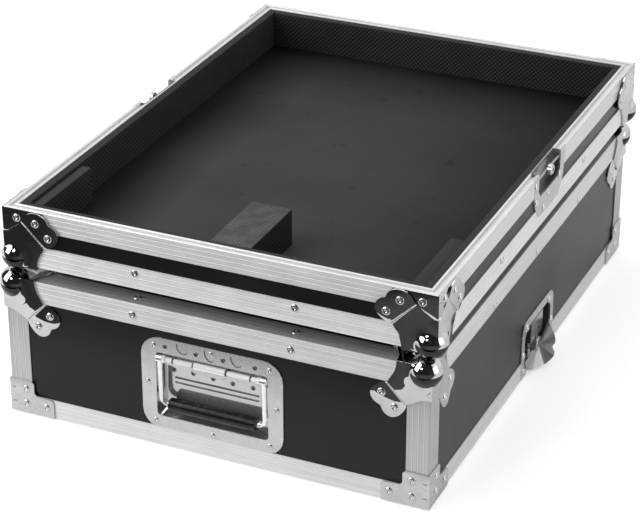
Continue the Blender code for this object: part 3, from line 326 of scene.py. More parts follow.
looks = {
    # the lid top edging's faces facing up or down are darkened: painted shade, as in the gap under the tray
    "top": edgingMaterial("lid_top_aluminium", at["lidTop"], paintedUpShade=0.48),
    "lidRim": edgingMaterial("lid_rim_aluminium", at["lidRim"], 0.023, 0.0, False),
    # the tray base edging is a brighter copy (tone 1.15) of the same aluminium: painted light for its less lit place
    "base": edgingMaterial("tray_bottom_aluminium", at["trayBase"], 0.026, at["shift"], tone=1.15),
    "trayRim": edgingMaterial("tray_rim_aluminium", at["trayRim"], 0.023, at["shift"], False),
    "upright": edgingMaterial("corner_aluminium", tone=0.66),
    "chrome": chromeMaterial("chrome", 0.68, (0.045, 0.12), 0.0001),
    "ball": chromeMaterial("ball_chrome", 0.63, (0.025, 0.06), 0.00001,
                           ((0.0, at["lidTop"] - ballInset), (at["shift"], at["trayBase"] + ballInset))),
    "wire": plateMaterial("bright_wire", 0.94, (0.08, 0.14), 0.00001, 0.78),
    "rod": plateMaterial("bright_rod", 0.94, (0.12, 0.18), 0.00001, 0.42),
    "wing": plateMaterial("wing_steel", 0.43, (0.26, 0.36), 0.00002, 0.65),
    "dish": plateMaterial("handle_plate", 0.64, (0.24, 0.30), 0.00001, 0.85, (1, at["halfD"], 0.0, 0.92, 0.32)),
    "zinc": plateMaterial("zinc_plate", 0.60, (0.22, 0.34), 0.00003, 0.70),
    "latchDish": plateMaterial("latch_plate", 0.56, (0.22, 0.34), 0.00003, 0.75, (0, at["halfW"], 0.0, 0.22, 0.6)),
    "keeperDish": plateMaterial("keeper_plate", 0.56, (0.22, 0.34), 0.00003, 0.75,
                                (0, at["halfW"], at["shift"], 0.35, 0.6)),
    "rivet": plateMaterial("rivet_steel", 0.62, (0.14, 0.22), 0.00001, 0.95),
    "mark": plateMaterial("pressed_steel", 0.20, (0.18, 0.28), 0.00001, 0.90),
    "shade": plateMaterial("shaded_steel", 0.030, (0.30, 0.42), 0.00002, 0.30),
    "laminate": laminateMaterial(),
    "floor": floorFoamMaterial(),
    "lining": liningMaterial("lining_foam"),
    # the centre block's walls get a darker tone: painted shade, as its sides stand in shadow
    "ribbed": liningMaterial("ribbed_foam", (0.003, 0.011), ribs=True),
    "paleTop": liningMaterial("pale_topped_foam", topTone=0.043),
    "rubber": rubberMaterial(),
}


def lookOf(name):
    if "panel" in name:
        return looks["laminate"]
    if "corner_edging" in name:
        return looks["upright"]
    if name.startswith("lid_rim_edging"):
        return looks["lidRim"]
    for node, look in (("lid_top_edging", "top"), ("tray_bottom_edging", "base"), ("tray_rim_edging", "trayRim"),
                       ("handle_grip", "rubber"), ("handle_dish", "dish"), ("handle_bail", "wire"),
                       ("handle_hinge_rod", "rod")):
        if name == node:
            return looks[look]
    for start, look in (("latch_dish", "latchDish"), ("keeper_dish", "keeperDish"), ("lid_rim_brace", "zinc"),
                        ("latch_turn", "wing"), ("latch_hook", "zinc")):
        if name.startswith(start):
            return looks[look]
    return looks["chrome"]


for name, node in nodes.items():
    for place in node.material_slots:
        place.material = lookOf(name)
print("materials made:", len(looks))


# helpers for new pieces

def asShape(bm, name):
    bmesh.ops.recalc_face_normals(bm, faces=bm.faces)
    mesh = bpy.data.meshes.new(name)
    bm.to_mesh(mesh)
    bm.free()
    return mesh


def addPiece(name, bm, look, body, angle):
    mesh = asShape(bm, name)
    piece = bpy.data.objects.new(name, mesh)
    scene.collection.objects.link(piece)
    mesh.materials.append(look)
    mesh.shade_smooth()
    mesh.set_sharp_from_angle(angle=math.radians(angle))
    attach(piece, body)
    return piece


def stamp(bm, shape, matrix):
    before = len(bm.verts)
    bm.from_mesh(shape)
    bmesh.ops.transform(bm, matrix=matrix, verts=list(bm.verts)[before:])


def spun(bm, profile, steps):
    # profile of (radius, height) about Z
    verts = [bm.verts.new((radius, 0, height)) for radius, height in profile]
    edges = [bm.edges.new(pair) for pair in zip(verts, verts[1:])]
    bmesh.ops.spin(bm, geom=verts + edges, cent=(0, 0, 0), axis=(0, 0, 1), angle=2 * math.pi,
                   steps=steps, use_merge=True)
    bmesh.ops.remove_doubles(bm, verts=bm.verts, dist=1e-6)


def box(bm, low, high):
    made = bmesh.ops.create_cube(bm, size=1.0)["verts"]
    bmesh.ops.scale(bm, vec=Vector(high) - Vector(low), verts=made)
    bmesh.ops.translate(bm, vec=(Vector(high) + Vector(low)) / 2, verts=made)
    return made


def roundEdges(bm, edges, offset, segments):
    bmesh.ops.bevel(bm, geom=list(edges), offset=offset, offset_type="OFFSET", segments=segments,
                    profile=0.5, affect="EDGES", material=-1, clamp_overlap=True)


def sliceAt(bm, point, normal, **more):
    return bmesh.ops.bisect_plane(bm, geom=bm.verts[:] + bm.edges[:] + bm.faces[:], plane_co=point,
                                  plane_no=normal, **more)


def raised(bm, faces, height):
    # copy of the faces lifted along Z, with walls between
    made = bmesh.ops.extrude_face_region(bm, geom=faces, use_keep_orig=True)["geom"]
    bmesh.ops.translate(bm, vec=(0, 0, height), verts=[v for v in made if isinstance(v, bmesh.types.BMVert)])
    return made


def curveThrough(points, steps=5):
    # smooth run of points through the given ones
    run = []
    for k in range(len(points) - 1):
        before = Vector(points[max(k - 1, 0)])
        here = Vector(points[k])
        after = Vector(points[k + 1])
        beyond = Vector(points[min(k + 2, len(points) - 1)])
        for n in range(steps):
            t = n / steps
            run.append(0.5 * (2 * here + (after - before) * t + (2 * before - 5 * here + 4 * after - beyond) * t ** 2
                              + (3 * here - before - 3 * after + beyond) * t ** 3))
    run.append(Vector(points[-1]))
    return run


def plateFrom(bm, outline, depth, edge, fold=None):
    # flat plate of an outline in millimetres, its outer edge rounded except along the fold at a low first coordinate
    face = bm.faces.new([bm.verts.new((a * mm, b * mm, 0)) for a, b in outline])
    top = [part for part in raised(bm, [face], depth * mm) if isinstance(part, bmesh.types.BMFace)]
    rim = [line for part in top for line in part.edges
           if fold is None or not all(v.co.x < (fold + 0.01) * mm for v in line.verts)]
    if edge:
        roundEdges(bm, rim, edge * mm, 2)


def faceFrame(normal, point):
    turn = Vector(normal).to_track_quat("Z", "Y").to_matrix().to_4x4()
    return Matrix.Translation(Vector(point)) @ turn


def toCorner(sx, sy, sz, origin):
    return Matrix.Translation(Vector(origin)) @ Matrix.Diagonal((sx, sy, sz, 1))


# foam

def softSlab(name, low, high, rounding, look, body, node):
    bm = bmesh.new()
    box(bm, low, high)
    roundEdges(bm, bm.edges, rounding, 4)
    piece = addPiece(name, bm, look, body, 60)
    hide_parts(node)


def makeTrayFoam():
    foam = {"round": 0.0015, "leg": 0.0103, "legIn": 0.0011}
    for side in ("left", "right", "front", "back"):
        node = "tray_lining_" + side
        low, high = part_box(node)
        bm = bmesh.new()
        box(bm, low, high)
        axis = 0 if side in sides else 1
        outer = -1 if side in ("left", "front") else 1
        step = at["trayRim"] - foam["leg"]
        sliceAt(bm, (0, 0, step), (0, 0, 1))
        edge = low if outer < 0 else high
        upper = [f for f in bm.faces if f.calc_center_median().z > step
                 and abs(f.calc_center_median()[axis] - edge[axis]) < 1e-5]
        moved = bmesh.ops.extrude_discrete_faces(bm, faces=upper)["faces"]
        inward = [0, 0, 0]
        inward[axis] = -outer * foam["legIn"]
        bmesh.ops.translate(bm, vec=inward, verts=[v for f in moved for v in f.verts])
        inner = high[axis] if outer < 0 else low[axis]
        lip = [e for e in bm.edges if all(abs(v.co[axis] - inner) < 1e-5 and v.co.z > high.z - 1e-5 for v in e.verts)]
        roundEdges(bm, lip, foam["round"], 4)
        piece = addPiece("foam_lining_" + side, bm, looks["lining"], "tray", 60)
        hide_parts(node)
    for side, look in (("left", "paleTop"), ("centre", "ribbed"), ("right", "lining")):
        node = "tray_block_" + side
        low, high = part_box(node)
        softSlab("foam_block_" + side, low, high, foam["round"], looks[look], "tray", node)


def makeFloorPad():
    pad = {"gap": 0.0003, "round": 0.0008}
    low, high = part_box("tray_floor_pad")
    bm = bmesh.new()
    bmesh.ops.create_grid(bm, x_segments=30, y_segments=42, size=0.5)
    bmesh.ops.scale(bm, vec=(high.x - low.x, high.y - low.y, 1), verts=bm.verts)
    bmesh.ops.translate(bm, vec=((low.x + high.x) / 2, (low.y + high.y) / 2, low.z), verts=bm.verts)
    for side in ("left", "centre", "right"):
        near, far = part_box("tray_block_" + side)
        lines = [((near.x - pad["gap"], 0, 0), (1, 0, 0)), ((far.x + pad["gap"], 0, 0), (1, 0, 0)),
                 ((0, far.y + pad["gap"], 0), (0, 1, 0))]
        for point, normal in lines:
            sliceAt(bm, point, normal, dist=1e-7)
        inside = [f for f in bm.faces if near.x - pad["gap"] < f.calc_center_median().x < far.x + pad["gap"]
                  and f.calc_center_median().y < far.y + pad["gap"]]
        bmesh.ops.delete(bm, geom=inside, context="FACES")
    raised(bm, bm.faces[:], high.z - low.z)
    piece = addPiece("foam_floor", bm, looks["floor"], "tray", 50)
    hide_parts("tray_floor_pad")


def makeLidLining():
    # glued sheets, with a pocket behind the handle's well
    low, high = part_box("lid_lining")
    wall = {"side": 0.0097, "top": 0.010, "pocketX": 0.0681, "pocketLow": 0.0360, "pocketHigh": 0.1015,
            "behind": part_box("handle_dish")[1].y + 0.0003}
    innerX = high.x - wall["side"]
    innerY = high.y - wall["side"]
    ceiling = high.z - wall["top"]
    floorZ = at["lidRim"] + wall["pocketLow"]
    roofZ = at["lidRim"] + wall["pocketHigh"]
    px = wall["pocketX"]
    sheets = [((low.x, low.y, ceiling), (high.x, high.y, high.z)),
              ((low.x, low.y, low.z), (-innerX, high.y, ceiling)),
              ((innerX, low.y, low.z), (high.x, high.y, ceiling)),
              ((-innerX, innerY, low.z), (innerX, high.y, ceiling)),
              ((-innerX, low.y, low.z), (-px, -innerY, ceiling)),
              ((px, low.y, low.z), (innerX, -innerY, ceiling)),
              ((-px, low.y, low.z), (px, -innerY, floorZ)),
              ((-px, low.y, roofZ), (px, -innerY, ceiling)),
              ((-px, wall["behind"], floorZ), (px, -innerY, roofZ))]
    bm = bmesh.new()
    for one, two in sheets:
        box(bm, one, two)
    piece = addPiece("foam_lid_lining", bm, looks["lining"], "lid", 50)
    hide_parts("lid_lining")


makeTrayFoam()
makeFloorPad()
makeLidLining()
print("foam made")


# ball corners

def leafShape(lift, place, leaf, second=None):
    bm = bmesh.new()
    fold = 0.06 - leaf["gap"] - leaf["thick"]
    half = [tuple(p) for p in curveThrough(leaf["neck"])] + [tuple(p) for p in curveThrough(leaf["lobe"])[1:]]
    other = [(b, a) for a, b in reversed(half)]
    if second:
        other = [tuple(p) for p in curveThrough(second)]
    plateFrom(bm, [(fold, fold), (half[0][0], fold)] + half + [leaf["notch"]] + other + [(fold, other[-1][1])],
              leaf["thick"], 0)
    for line in (leaf["crank"][0] - 0.8,) + leaf["crank"] + (leaf["crank"][-1] + 0.8,):
        sliceAt(bm, (line * mm / 2, line * mm / 2, 0), (1, 1, 0), dist=1e-6)
    bmesh.ops.recalc_face_normals(bm, faces=bm.faces)
    rim = [e for e in bm.edges if len(e.link_faces) == 2 and sum(f.normal.z > 0.9 for f in e.link_faces) == 1
           and all(v.co.z > leaf["thick"] * mm / 2 for v in e.verts)
           and not all(min(v.co.x, v.co.y) < fold * mm + 1e-6 for v in e.verts)]
    roundEdges(bm, rim, leaf["edge"] * mm, 2)
    start, end = leaf["crank"][0] * mm, leaf["crank"][-1] * mm
    for vert in bm.verts:
        a, b, depth = vert.co
        t = min(1, max(0, (a + b - start) / (end - start)))
        ramp = t * t * (3 - 2 * t)
        vert.co = place(a, b, leaf["gap"] * mm + depth + ramp * lift * mm)
    return asShape(bm, "leaf")


def toothShape():
    tooth = {"size": (0.0013, 0.0024, 0.0007), "round": 0.0003}
    bm = bmesh.new()
    half = Vector(tooth["size"]) / 2
    box(bm, -half, half)
    roundEdges(bm, bm.edges, tooth["round"], 2)
    return asShape(bm, "tooth")


def ballShape(crown):
    # one pressed skin: the ball, and the skirt by which it runs out into the three leaves
    ball = {"radius": 17.6, "inset": 8.6, "level": 1.77, "flare": 1.6, "fold": 2.6, "keep": 0.33, "fine": 6,
            "skirtAt": 13.0, "skirt": 21.0, "rise": 1.7, "run": 12.5}

    def joined(a, b, width):
        near = max(width - abs(a - b), 0.0) / width
        return max(a, b) + near * near * width / 4

    def above(out, u, v):
        near = max(ball["skirt"] - math.hypot(u + ball["skirtAt"], v + ball["skirtAt"]), 0.0) / ball["run"]
        return out - ball["level"] - ball["rise"] * min(near, 1.4) ** 1.7

    def field(point):
        x, y, z = point
        case = joined(joined(above(x, y, z), above(y, x, z), ball["fold"]), above(z, x, y), ball["fold"])
        sphere = (point - centre).length - ball["radius"]
        return -joined(-case, -sphere, ball["flare"])

    centre = Vector((-ball["inset"],) * 3)
    bm = bmesh.new()
    bmesh.ops.create_icosphere(bm, subdivisions=ball["fine"], radius=1.0)
    spare = [v for v in bm.verts if max(v.co) < ball["keep"]]
    bmesh.ops.delete(bm, geom=spare, context="VERTS")
    for vert in bm.verts:
        way = vert.co.normalized()
        low, high = 0.0, 60.0
        for _ in range(26):
            middle = (low + high) / 2
            if field(centre + way * middle) < 0:
                low = middle
            else:
                high = middle
        vert.co = (centre + way * low) * mm
    bmesh.ops.holes_fill(bm, edges=[e for e in bm.edges if e.is_boundary], sides=0)
    if crown:
        cut = sliceAt(bm, (0, 0, crown), (0, 0, 1), clear_outer=True)["geom_cut"]
        bmesh.ops.holes_fill(bm, edges=[e for e in cut if isinstance(e, bmesh.types.BMEdge)], sides=0)
    return asShape(bm, "ball")


def makeBallCorners():
    leaf = {
        "thick": 1.5, "gap": 0.3, "edge": 0.35, "crank": (73.5, 74.7, 75.8, 76.8, 78),
        "neck": [(38, -1), (38.4, 4), (39.8, 10.5), (42.5, 16), (45.6, 21), (48.1, 25.9)],
        "lobe": [(48.1, 25.9), (53.6, 27.6), (59.3, 31.0), (64.2, 35.6), (66.8, 41), (66.6, 46), (63.4, 51.3),
                 (58.8, 54.3)],
        "notch": (55.6, 55.6), "topLift": -1.5,
        "wide": [(54.3, 58.8), (51.2, 63.0), (45.5, 66.2), (40.0, 66.8), (34.5, 66.2), (29.3, 63.6), (25.9, 59.5),
                 (22.6, 54.0), (17.4, 48.5), (10.1, 43.6), (4.0, 39.9), (-1.8, 39.0)],
    }
    # lift of the side leaves, shift, height and way up of each half of the case
    kinds = {"lid": (-1.5, 0.0, at["lidTop"], 1), "tray": (1.5, at["shift"], at["trayBase"], -1)}
    crown = {"lid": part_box("lid_ball_corner_fl")[1].z - at["lidTop"], "tray": 0}
    tooth = toothShape()
    middle = leaf["crank"][2] / 2
    teeth = [(middle + t, middle - t) for t in (-9.5, -7.1, -4.8, -2.4, 0, 2.4, 4.8, 7.1, 9.5)]
    for kind, (lift, shift, height, up) in kinds.items():
        second = leaf["wide"] if kind == "tray" else None
        shapes = [leafShape(lift, lambda a, b, d: (d, -a, -b), leaf, second),
                  leafShape(lift, lambda a, b, d: (-a, d, -b), leaf, second),
                  leafShape(leaf["topLift"], lambda a, b, d: (-a, -b, d), leaf), ballShape(crown[kind])]
        for tag, (sx, sy) in corners.items():
            bm = bmesh.new()
            for shape in shapes:
                stamp(bm, shape, Matrix.Identity(4))
            level = (leaf["gap"] + leaf["thick"] + lift / 2) * mm
            topLevel = (leaf["gap"] + leaf["thick"] + leaf["topLift"] / 2) * mm
            turn = Matrix.Rotation(math.radians(45), 4, "Z")
            for u, v in teeth:
                for place in (Matrix.Translation((-u * mm, -v * mm, topLevel)),
                              Matrix(((0, 0, 1, level), (-1, 0, 0, -u * mm), (0, -1, 0, -v * mm), (0, 0, 0, 1))),
                              Matrix(((-1, 0, 0, -u * mm), (0, 0, 1, level), (0, -1, 0, -v * mm), (0, 0, 0, 1)))):
                    stamp(bm, tooth, place @ turn)
            origin = (shift + sx * at["halfW"], sy * at["halfD"], height)
            bmesh.ops.transform(bm, matrix=toCorner(sx, sy, up, origin), verts=bm.verts)
            piece = addPiece("ball_corner_" + kind + "_" + tag, bm, looks["ball"], kind, 26)
            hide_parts(kind + "_ball_corner_" + tag)


makeBallCorners()
print("ball corners made")


# rim braces

def makeBraces():
    brace = {
        "gap": 0.3, "thick": 1.2, "edge": 0.3,
        "tray": [(-1.44, 0.3), (48.5, 0.3), (48.5, 22), (47.3, 23.2), (34.5, 23.2), (23.3, 12.2)],
        "trayCurve": [(22.3, 13.6), (17.2, 19.0), (9.95, 23.95), (3.95, 27.65), (-1.44, 28.5)],
        "lid": [(-1.44, 0.0), (53.3, 0.0), (53.3, 20.0), (50.3, 23.0), (32.0, 24.0), (29.0, 27.0), (29.0, 38.5),
                (26.0, 41.5), (-1.44, 41.5)],
        "slots": {"lid": [(3.4, 12.7), (3.4, 30.6)], "tray": [(4.2, 10.0)]}, "slot": (4.6, 0.9, 0.12),
    }
    faces = (Matrix(((0, 0, 1, 0), (-1, 0, 0, 0), (0, 1, 0, 0), (0, 0, 0, 1))),
             Matrix(((-1, 0, 0, 0), (0, 0, 1, 0), (0, 1, 0, 0), (0, 0, 0, 1))))
    for kind, look, shift, height, up in (("lid", "zinc", 0.0, at["lidRim"], 1),
                                          ("tray", "ball", at["shift"], at["trayRim"], -1)):
        outline = brace[kind]
        if kind == "tray":
            outline = outline + [tuple(p) for p in curveThrough(brace["trayCurve"], 4)]
        slots = bmesh.new()
        for tag, (sx, sy) in corners.items():
            corner = toCorner(sx, sy, up, (shift + sx * at["halfW"], sy * at["halfD"], height))
            bm = bmesh.new()
            for turn in faces:
                part = bmesh.new()
                plateFrom(part, outline, brace["thick"], brace["edge"], -1.44)
                stamp(bm, asShape(part, "brace"), turn @ Matrix.Translation((0, 0, brace["gap"] * mm)))
                long, high, deep = brace["slot"]
                # each slot is a dark shaded_steel inset: painted shade in the slot
                for a, b in brace["slots"][kind]:
                    part = bmesh.new()
                    top = brace["gap"] + brace["thick"]
                    box(part, ((a - long / 2) * mm, (b - high / 2) * mm, (top - deep) * mm),
                        ((a + long / 2) * mm, (b + high / 2) * mm, (top + 0.02) * mm))
                    roundEdges(part, [e for e in part.edges if abs(e.verts[0].co.z - e.verts[1].co.z) > deep * mm / 2],
                               high * mm * 0.4, 3)
                    stamp(slots, asShape(part, "slot"), corner @ turn)
            bmesh.ops.transform(bm, matrix=corner, verts=bm.verts)
            piece = addPiece("rim_brace_" + kind + "_" + tag, bm, looks[look], kind, 26)
            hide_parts(kind + "_rim_brace_" + tag)
        addPiece(kind + "_brace_slots", slots, looks["shade"], kind, 42)


makeBraces()
print("braces made")


# rivets

def rivetShape(size=1.0):
    rivet = {"profile": [(0, 0.35), (0.9, 0.40), (1.25, 0.75), (1.6, 1.15), (2.3, 1.42), (3.1, 1.40), (3.9, 1.08),
                         (4.45, 0.62), (4.75, 0.16), (4.75, -0.3)], "steps": 26}
    bm = bmesh.new()
    spun(bm, [(r * size * mm, h * size * mm) for r, h in rivet["profile"]], rivet["steps"])
    return asShape(bm, "rivet")


def makeRivets():
    halfW, halfD, shift = at["halfW"], at["halfD"], at["shift"]
    top, rim = at["lidTop"], at["lidRim"]
    base, trayTop = at["trayBase"], at["trayRim"]
    # how far the faces of the fittings lie from the case's outline
    rib, leaf, trayLeaf, brace = 0.0002, 0.0003, 0.0033, 0.0015
    lid = []
    tray = []
    spots = {
        "across": (-0.093, 0.093), "along": (-0.1422, -0.0017, 0.1456), "trayAlong": (-0.141, 0.141),
        "inward": 0.0139, "endDown": 0.0149, "sideDown": 0.0200, "trayEndUp": 0.0184, "traySideUp": 0.0179,
        "leaf": [(0.0545, 0.0397), (0.0397, 0.0547)],
        "lidBrace": [(0.0187, 0.031), (0.0185, 0.012), (0.044, 0.0123)],
        "trayBrace": (0.0161, 0.0107),
        "keeper": [(-0.0031, 0.0361), (-0.0168, 0.0483), (-0.0429, 0.0324), (-0.046, 0.0118), (0.0357, 0.0298)],
        "latch": [(0.0386, 0.0615), (0.0490, 0.030), (-0.0386, 0.0615), (-0.0490, 0.030), (-0.0466, 0.008),
                  (0.0466, 0.008)],
        "handle": [(-0.0685, 0.124), (0.0685, 0.124), (-0.0685, 0.0306), (0.0685, 0.0306), (-0.0768, 0.0773),
                   (0.0768, 0.0773), (0, 0.1277), (0, 0.027)],
    }
    for sy in (-1, 1):
        for x in spots["across"]:
            tray.append(((0, sy, 0), (shift + x, sy * (halfD - rib), base + spots["trayEndUp"])))
            lid.append(((0, 0, 1), (x, sy * (halfD - spots["inward"]), top - rib)))
            lid.append(((0, sy, 0), (x, sy * (halfD - rib), top - spots["endDown"])))
    for sx in (-1, 1):
        for y in spots["along"]:
            lid.append(((sx, 0, 0), (sx * (halfW - rib), y, top - spots["sideDown"])))
            lid.append(((0, 0, 1), (sx * (halfW - spots["inward"]), y, top - rib)))
        for y in spots["trayAlong"]:
            tray.append(((sx, 0, 0), (shift + sx * (halfW - rib), y, base + spots["traySideUp"])))
        for a, b in spots["keeper"]:
            tray.append(((sx, 0, 0), (shift + sx * halfW, at["latchY"] + a, trayTop - b)))
        for a, b in spots["latch"]:
            lid.append(((sx, 0, 0), (sx * halfW, at["latchY"] + a, rim + b)))
    for sx, sy in corners.values():
        for u, v in spots["leaf"]:
            lid.append(((sx, 0, 0), (sx * (halfW + leaf), sy * (halfD - u), top - v)))
            lid.append(((0, sy, 0), (sx * (halfW - u), sy * (halfD + leaf), top - v)))
            lid.append(((0, 0, 1), (sx * (halfW - u), sy * (halfD - v), top + leaf)))
            tray.append(((sx, 0, 0), (shift + sx * (halfW + trayLeaf), sy * (halfD - u), base + v)))
            tray.append(((0, sy, 0), (shift + sx * (halfW - u), sy * (halfD + trayLeaf), base + v)))
            tray.append(((0, 0, -1), (shift + sx * (halfW - u), sy * (halfD - v), base - leaf)))
        for a, b in spots["lidBrace"]:
            lid.append(((0, sy, 0), (sx * (halfW - a), sy * (halfD + brace), rim + b)))
            lid.append(((sx, 0, 0), (sx * (halfW + brace), sy * (halfD - a), rim + b)))
        a, b = spots["trayBrace"]
        tray.append(((0, sy, 0), (shift + sx * (halfW - a), sy * (halfD + brace), trayTop - b)))
        tray.append(((sx, 0, 0), (shift + sx * (halfW + brace), sy * (halfD - a), trayTop - b)))
    shape = rivetShape()
    small = rivetShape(0.72)
    for name, body, places in (("lid_rivets", "lid", lid), ("tray_rivets", "tray", tray)):
        bm = bmesh.new()
        for normal, point in places:
            stamp(bm, shape, faceFrame(normal, point))
        addPiece(name, bm, looks["rivet"], body, 50)
    bm = bmesh.new()
    for x, z in spots["handle"]:
        stamp(bm, small, faceFrame((0, -1, 0), (x, -halfD, rim + z)))
    addPiece("handle_rivets", bm, looks["rivet"], "lid", 50)
    print("rivets:", len(lid) + len(tray))


makeRivets()


# pressed marks and small plates of the handle

def tubeAlong(bm, path, radius, sides=8):
    # round wire along a path of points
    rings = []
    for k, point in enumerate(path):
        run = (path[min(k + 1, len(path) - 1)] - path[max(k - 1, 0)]).normalized()
        turn = run.to_track_quat("Z", "Y").to_matrix().to_4x4()
        made = bmesh.ops.create_circle(bm, segments=sides, radius=radius, cap_ends=k in (0, len(path) - 1),
                                       matrix=Matrix.Translation(point) @ turn)["verts"]
        rings.append(made)
    for one, two in zip(rings, rings[1:]):
        edges = [e for ring in (one, two) for e in {e for v in ring for e in v.link_edges}
                 if e.verts[0] in ring and e.verts[1] in ring]
        bmesh.ops.bridge_loops(bm, edges=edges)


def makeHandleMarks():
    marks = {
        "wellDimples": [(-51.5, 90.6), (-28.2, 91.2), (-4.5, 90.1), (19.0, 89.6), (43.0, 89.9)],
        "flangeDimples": [(-55.0, 124.7), (-18.1, 123.6), (14.1, 123.6), (51.4, 123.3)],
        "arcs": [[(-40.6, 131.0), (-39.6, 124.6), (-36.1, 121.2), (-31.4, 120.7), (-28.4, 122.6)],
                 [(-7.6, 130.8), (-6.9, 124.4), (-3.8, 120.3), (-0.3, 118.7), (3.2, 119.9)],
                 [(23.5, 130.3), (24.3, 125.1), (27.1, 121.5), (31.1, 119.7), (35.8, 121.5)]],
        "tab": [(-56.5, 104.0), (-56.5, 98.0), (-53.9, 97.6), (-31.5, 98.6), (-29.0, 96.0), (-26.5, 93.6),
                (-19.5, 92.7), (-6.5, 92.9), (6.4, 92.6), (11.0, 95.6), (15.0, 96.3), (38.1, 95.8), (41.4, 94.6),
                (56.5, 94.6), (56.5, 104.0)],
        "tabDepth": 10.2, "tabThick": 1.0, "behind": 1.1, "below": 0.55, "wellDepth": 13.0,
        "joints": (-56.4, -45.5, -21.2, 18.2, 46.7, 58.6), "rod": (0.5, 109), "wire": 0.45, "proud": 0.1,
        "ring": [(0, 0.06), (0.9, 0.05), (1.3, 0.25), (1.9, 0.42), (2.6, 0.36), (3.1, -0.10)],
        "ringTone": [(0, 0.10), (1.05, 0.09), (1.10, -0.05)],
    }
    front = -at["halfD"]
    rim = at["lidRim"]
    ring = bmesh.new()
    spun(ring, [(r * mm, h * mm) for r, h in marks["ring"]], 22)
    ringShape = asShape(ring, "ring")
    spot = bmesh.new()
    spun(spot, [(r * mm, h * mm) for r, h in marks["ringTone"]], 14)
    spotShape = asShape(spot, "spot")
    rings = bmesh.new()
    spots = bmesh.new()
    for depth, places in ((0.0, marks["flangeDimples"]), (marks["wellDepth"], marks["wellDimples"])):
        for x, z in places:
            frameHere = faceFrame((0, -1, 0), (x * mm, front + depth * mm, rim + z * mm))
            stamp(rings, ringShape, frameHere)
            stamp(spots, spotShape, frameHere)
    addPiece("handle_weld_dimples", rings, looks["mark"], "lid", 60)
    # the arcs are thin dark shaded_steel wires: painted shade along the pressed arcs
    for path in marks["arcs"]:
        points = [Vector((x * mm, front - marks["proud"] * mm, rim + z * mm)) for x, z in curveThrough(path, 4)]
        tubeAlong(spots, points, marks["wire"] * mm)
    addPiece("handle_pressed_marks", spots, looks["shade"], "lid", 50)
    # the tab, and a dark plate just behind it, a little lower: painted shadow that outlines the tab
    for name, look, depth, drop in (("handle_spring_tab", "dish", marks["tabDepth"], 0.0),
                                    ("handle_tab_painted_shadow", "shade", marks["tabDepth"] + marks["behind"],
                                     -marks["below"])):
        bm = bmesh.new()
        plateFrom(bm, marks["tab"], marks["tabThick"], 0.3)
        turn = Matrix(((1, 0, 0, 0), (0, 0, -1, front + (depth + marks["tabThick"]) * mm),
                       (0, 1, 0, rim + drop * mm), (0, 0, 0, 1)))
        bmesh.ops.transform(bm, matrix=turn, verts=bm.verts)
        addPiece(name, bm, looks[look], "lid", 26)
    # dark joints between the rod, its collars and its sleeve
    joint = bmesh.new()
    spun(joint, [(0, -0.0009), (0.0031, -0.0009), (0.0034, -0.0007), (0.0034, 0.0007), (0.0031, 0.0009),
                 (0, 0.0009)], 28)
    jointShape = asShape(joint, "joint")
    bm = bmesh.new()
    inward, up = marks["rod"]
    for x in marks["joints"]:
        point = (x * mm, front + inward * mm, rim + up * mm)
        stamp(bm, jointShape, Matrix.Translation(point) @ Matrix.Rotation(math.radians(90), 4, "Y"))
    addPiece("handle_rod_joints", bm, looks["shade"], "lid", 50)


def makeGripPad():
    # blank raised field on the front of the rubber grip
    pad = {"x": (-33.6, 45.0), "around": (-42, 34), "proud": 0.45, "sunk": 0.4, "steps": 14}
    low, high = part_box("handle_grip")
    middle = (low + high) / 2
    radius = (high.z - low.z) / 2
    sunk = pad["sunk"] * mm
    bm = bmesh.new()
    bmesh.ops.create_grid(bm, x_segments=6, y_segments=pad["steps"], size=0.5)
    raised(bm, bm.faces[:], 1)
    for vert in bm.verts:
        across, turn, out = vert.co
        angle = math.radians(pad["around"][0] + (turn + 0.5) * (pad["around"][1] - pad["around"][0]))
        reach = radius - sunk + out * (sunk + pad["proud"] * mm)
        x = (pad["x"][0] + (across + 0.5) * (pad["x"][1] - pad["x"][0])) * mm
        vert.co = (x, middle.y - math.cos(angle) * reach, middle.z + math.sin(angle) * reach)
    addPiece("grip_blank_field", bm, looks["rubber"], "handle", 32)


def makeHookSlots():
    # two short slots pressed through the plate of each hook, drawn as dark shaded_steel insets: painted shade in each
    # slot
    slot = {"across": (-9.0, 9.0), "height": 45.0, "size": (2.2, 5.4), "proud": 0.05, "sunk": 0.6, "round": 0.9,
            "plate": 3.5}
    for side, sx in sides.items():
        low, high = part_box("latch_hook_" + side)
        plane = min(abs(low.x), abs(high.x)) + slot["plate"] * mm
        bm = bmesh.new()
        wide, tall = slot["size"]
        for s in slot["across"]:
            part = bmesh.new()
            box(part, (-slot["sunk"] * mm, (s - wide / 2) * mm, (slot["height"] - tall / 2) * mm),
                (slot["proud"] * mm, (s + wide / 2) * mm, (slot["height"] + tall / 2) * mm))
            upright = [e for e in part.edges if abs(e.verts[0].co.x - e.verts[1].co.x) > slot["sunk"] * mm / 2]
            roundEdges(part, upright, slot["round"] * mm, 4)
            stamp(bm, asShape(part, "slot"), toCorner(sx, 1, 1, (sx * plane, at["latchY"], at["lidRim"])))
        addPiece("latch_hook_slots_" + side, bm, looks["shade"], "latch_hook_" + side, 40)


makeHandleMarks()
makeGripPad()
makeHookSlots()
print("handle and latch marks made")


# camera

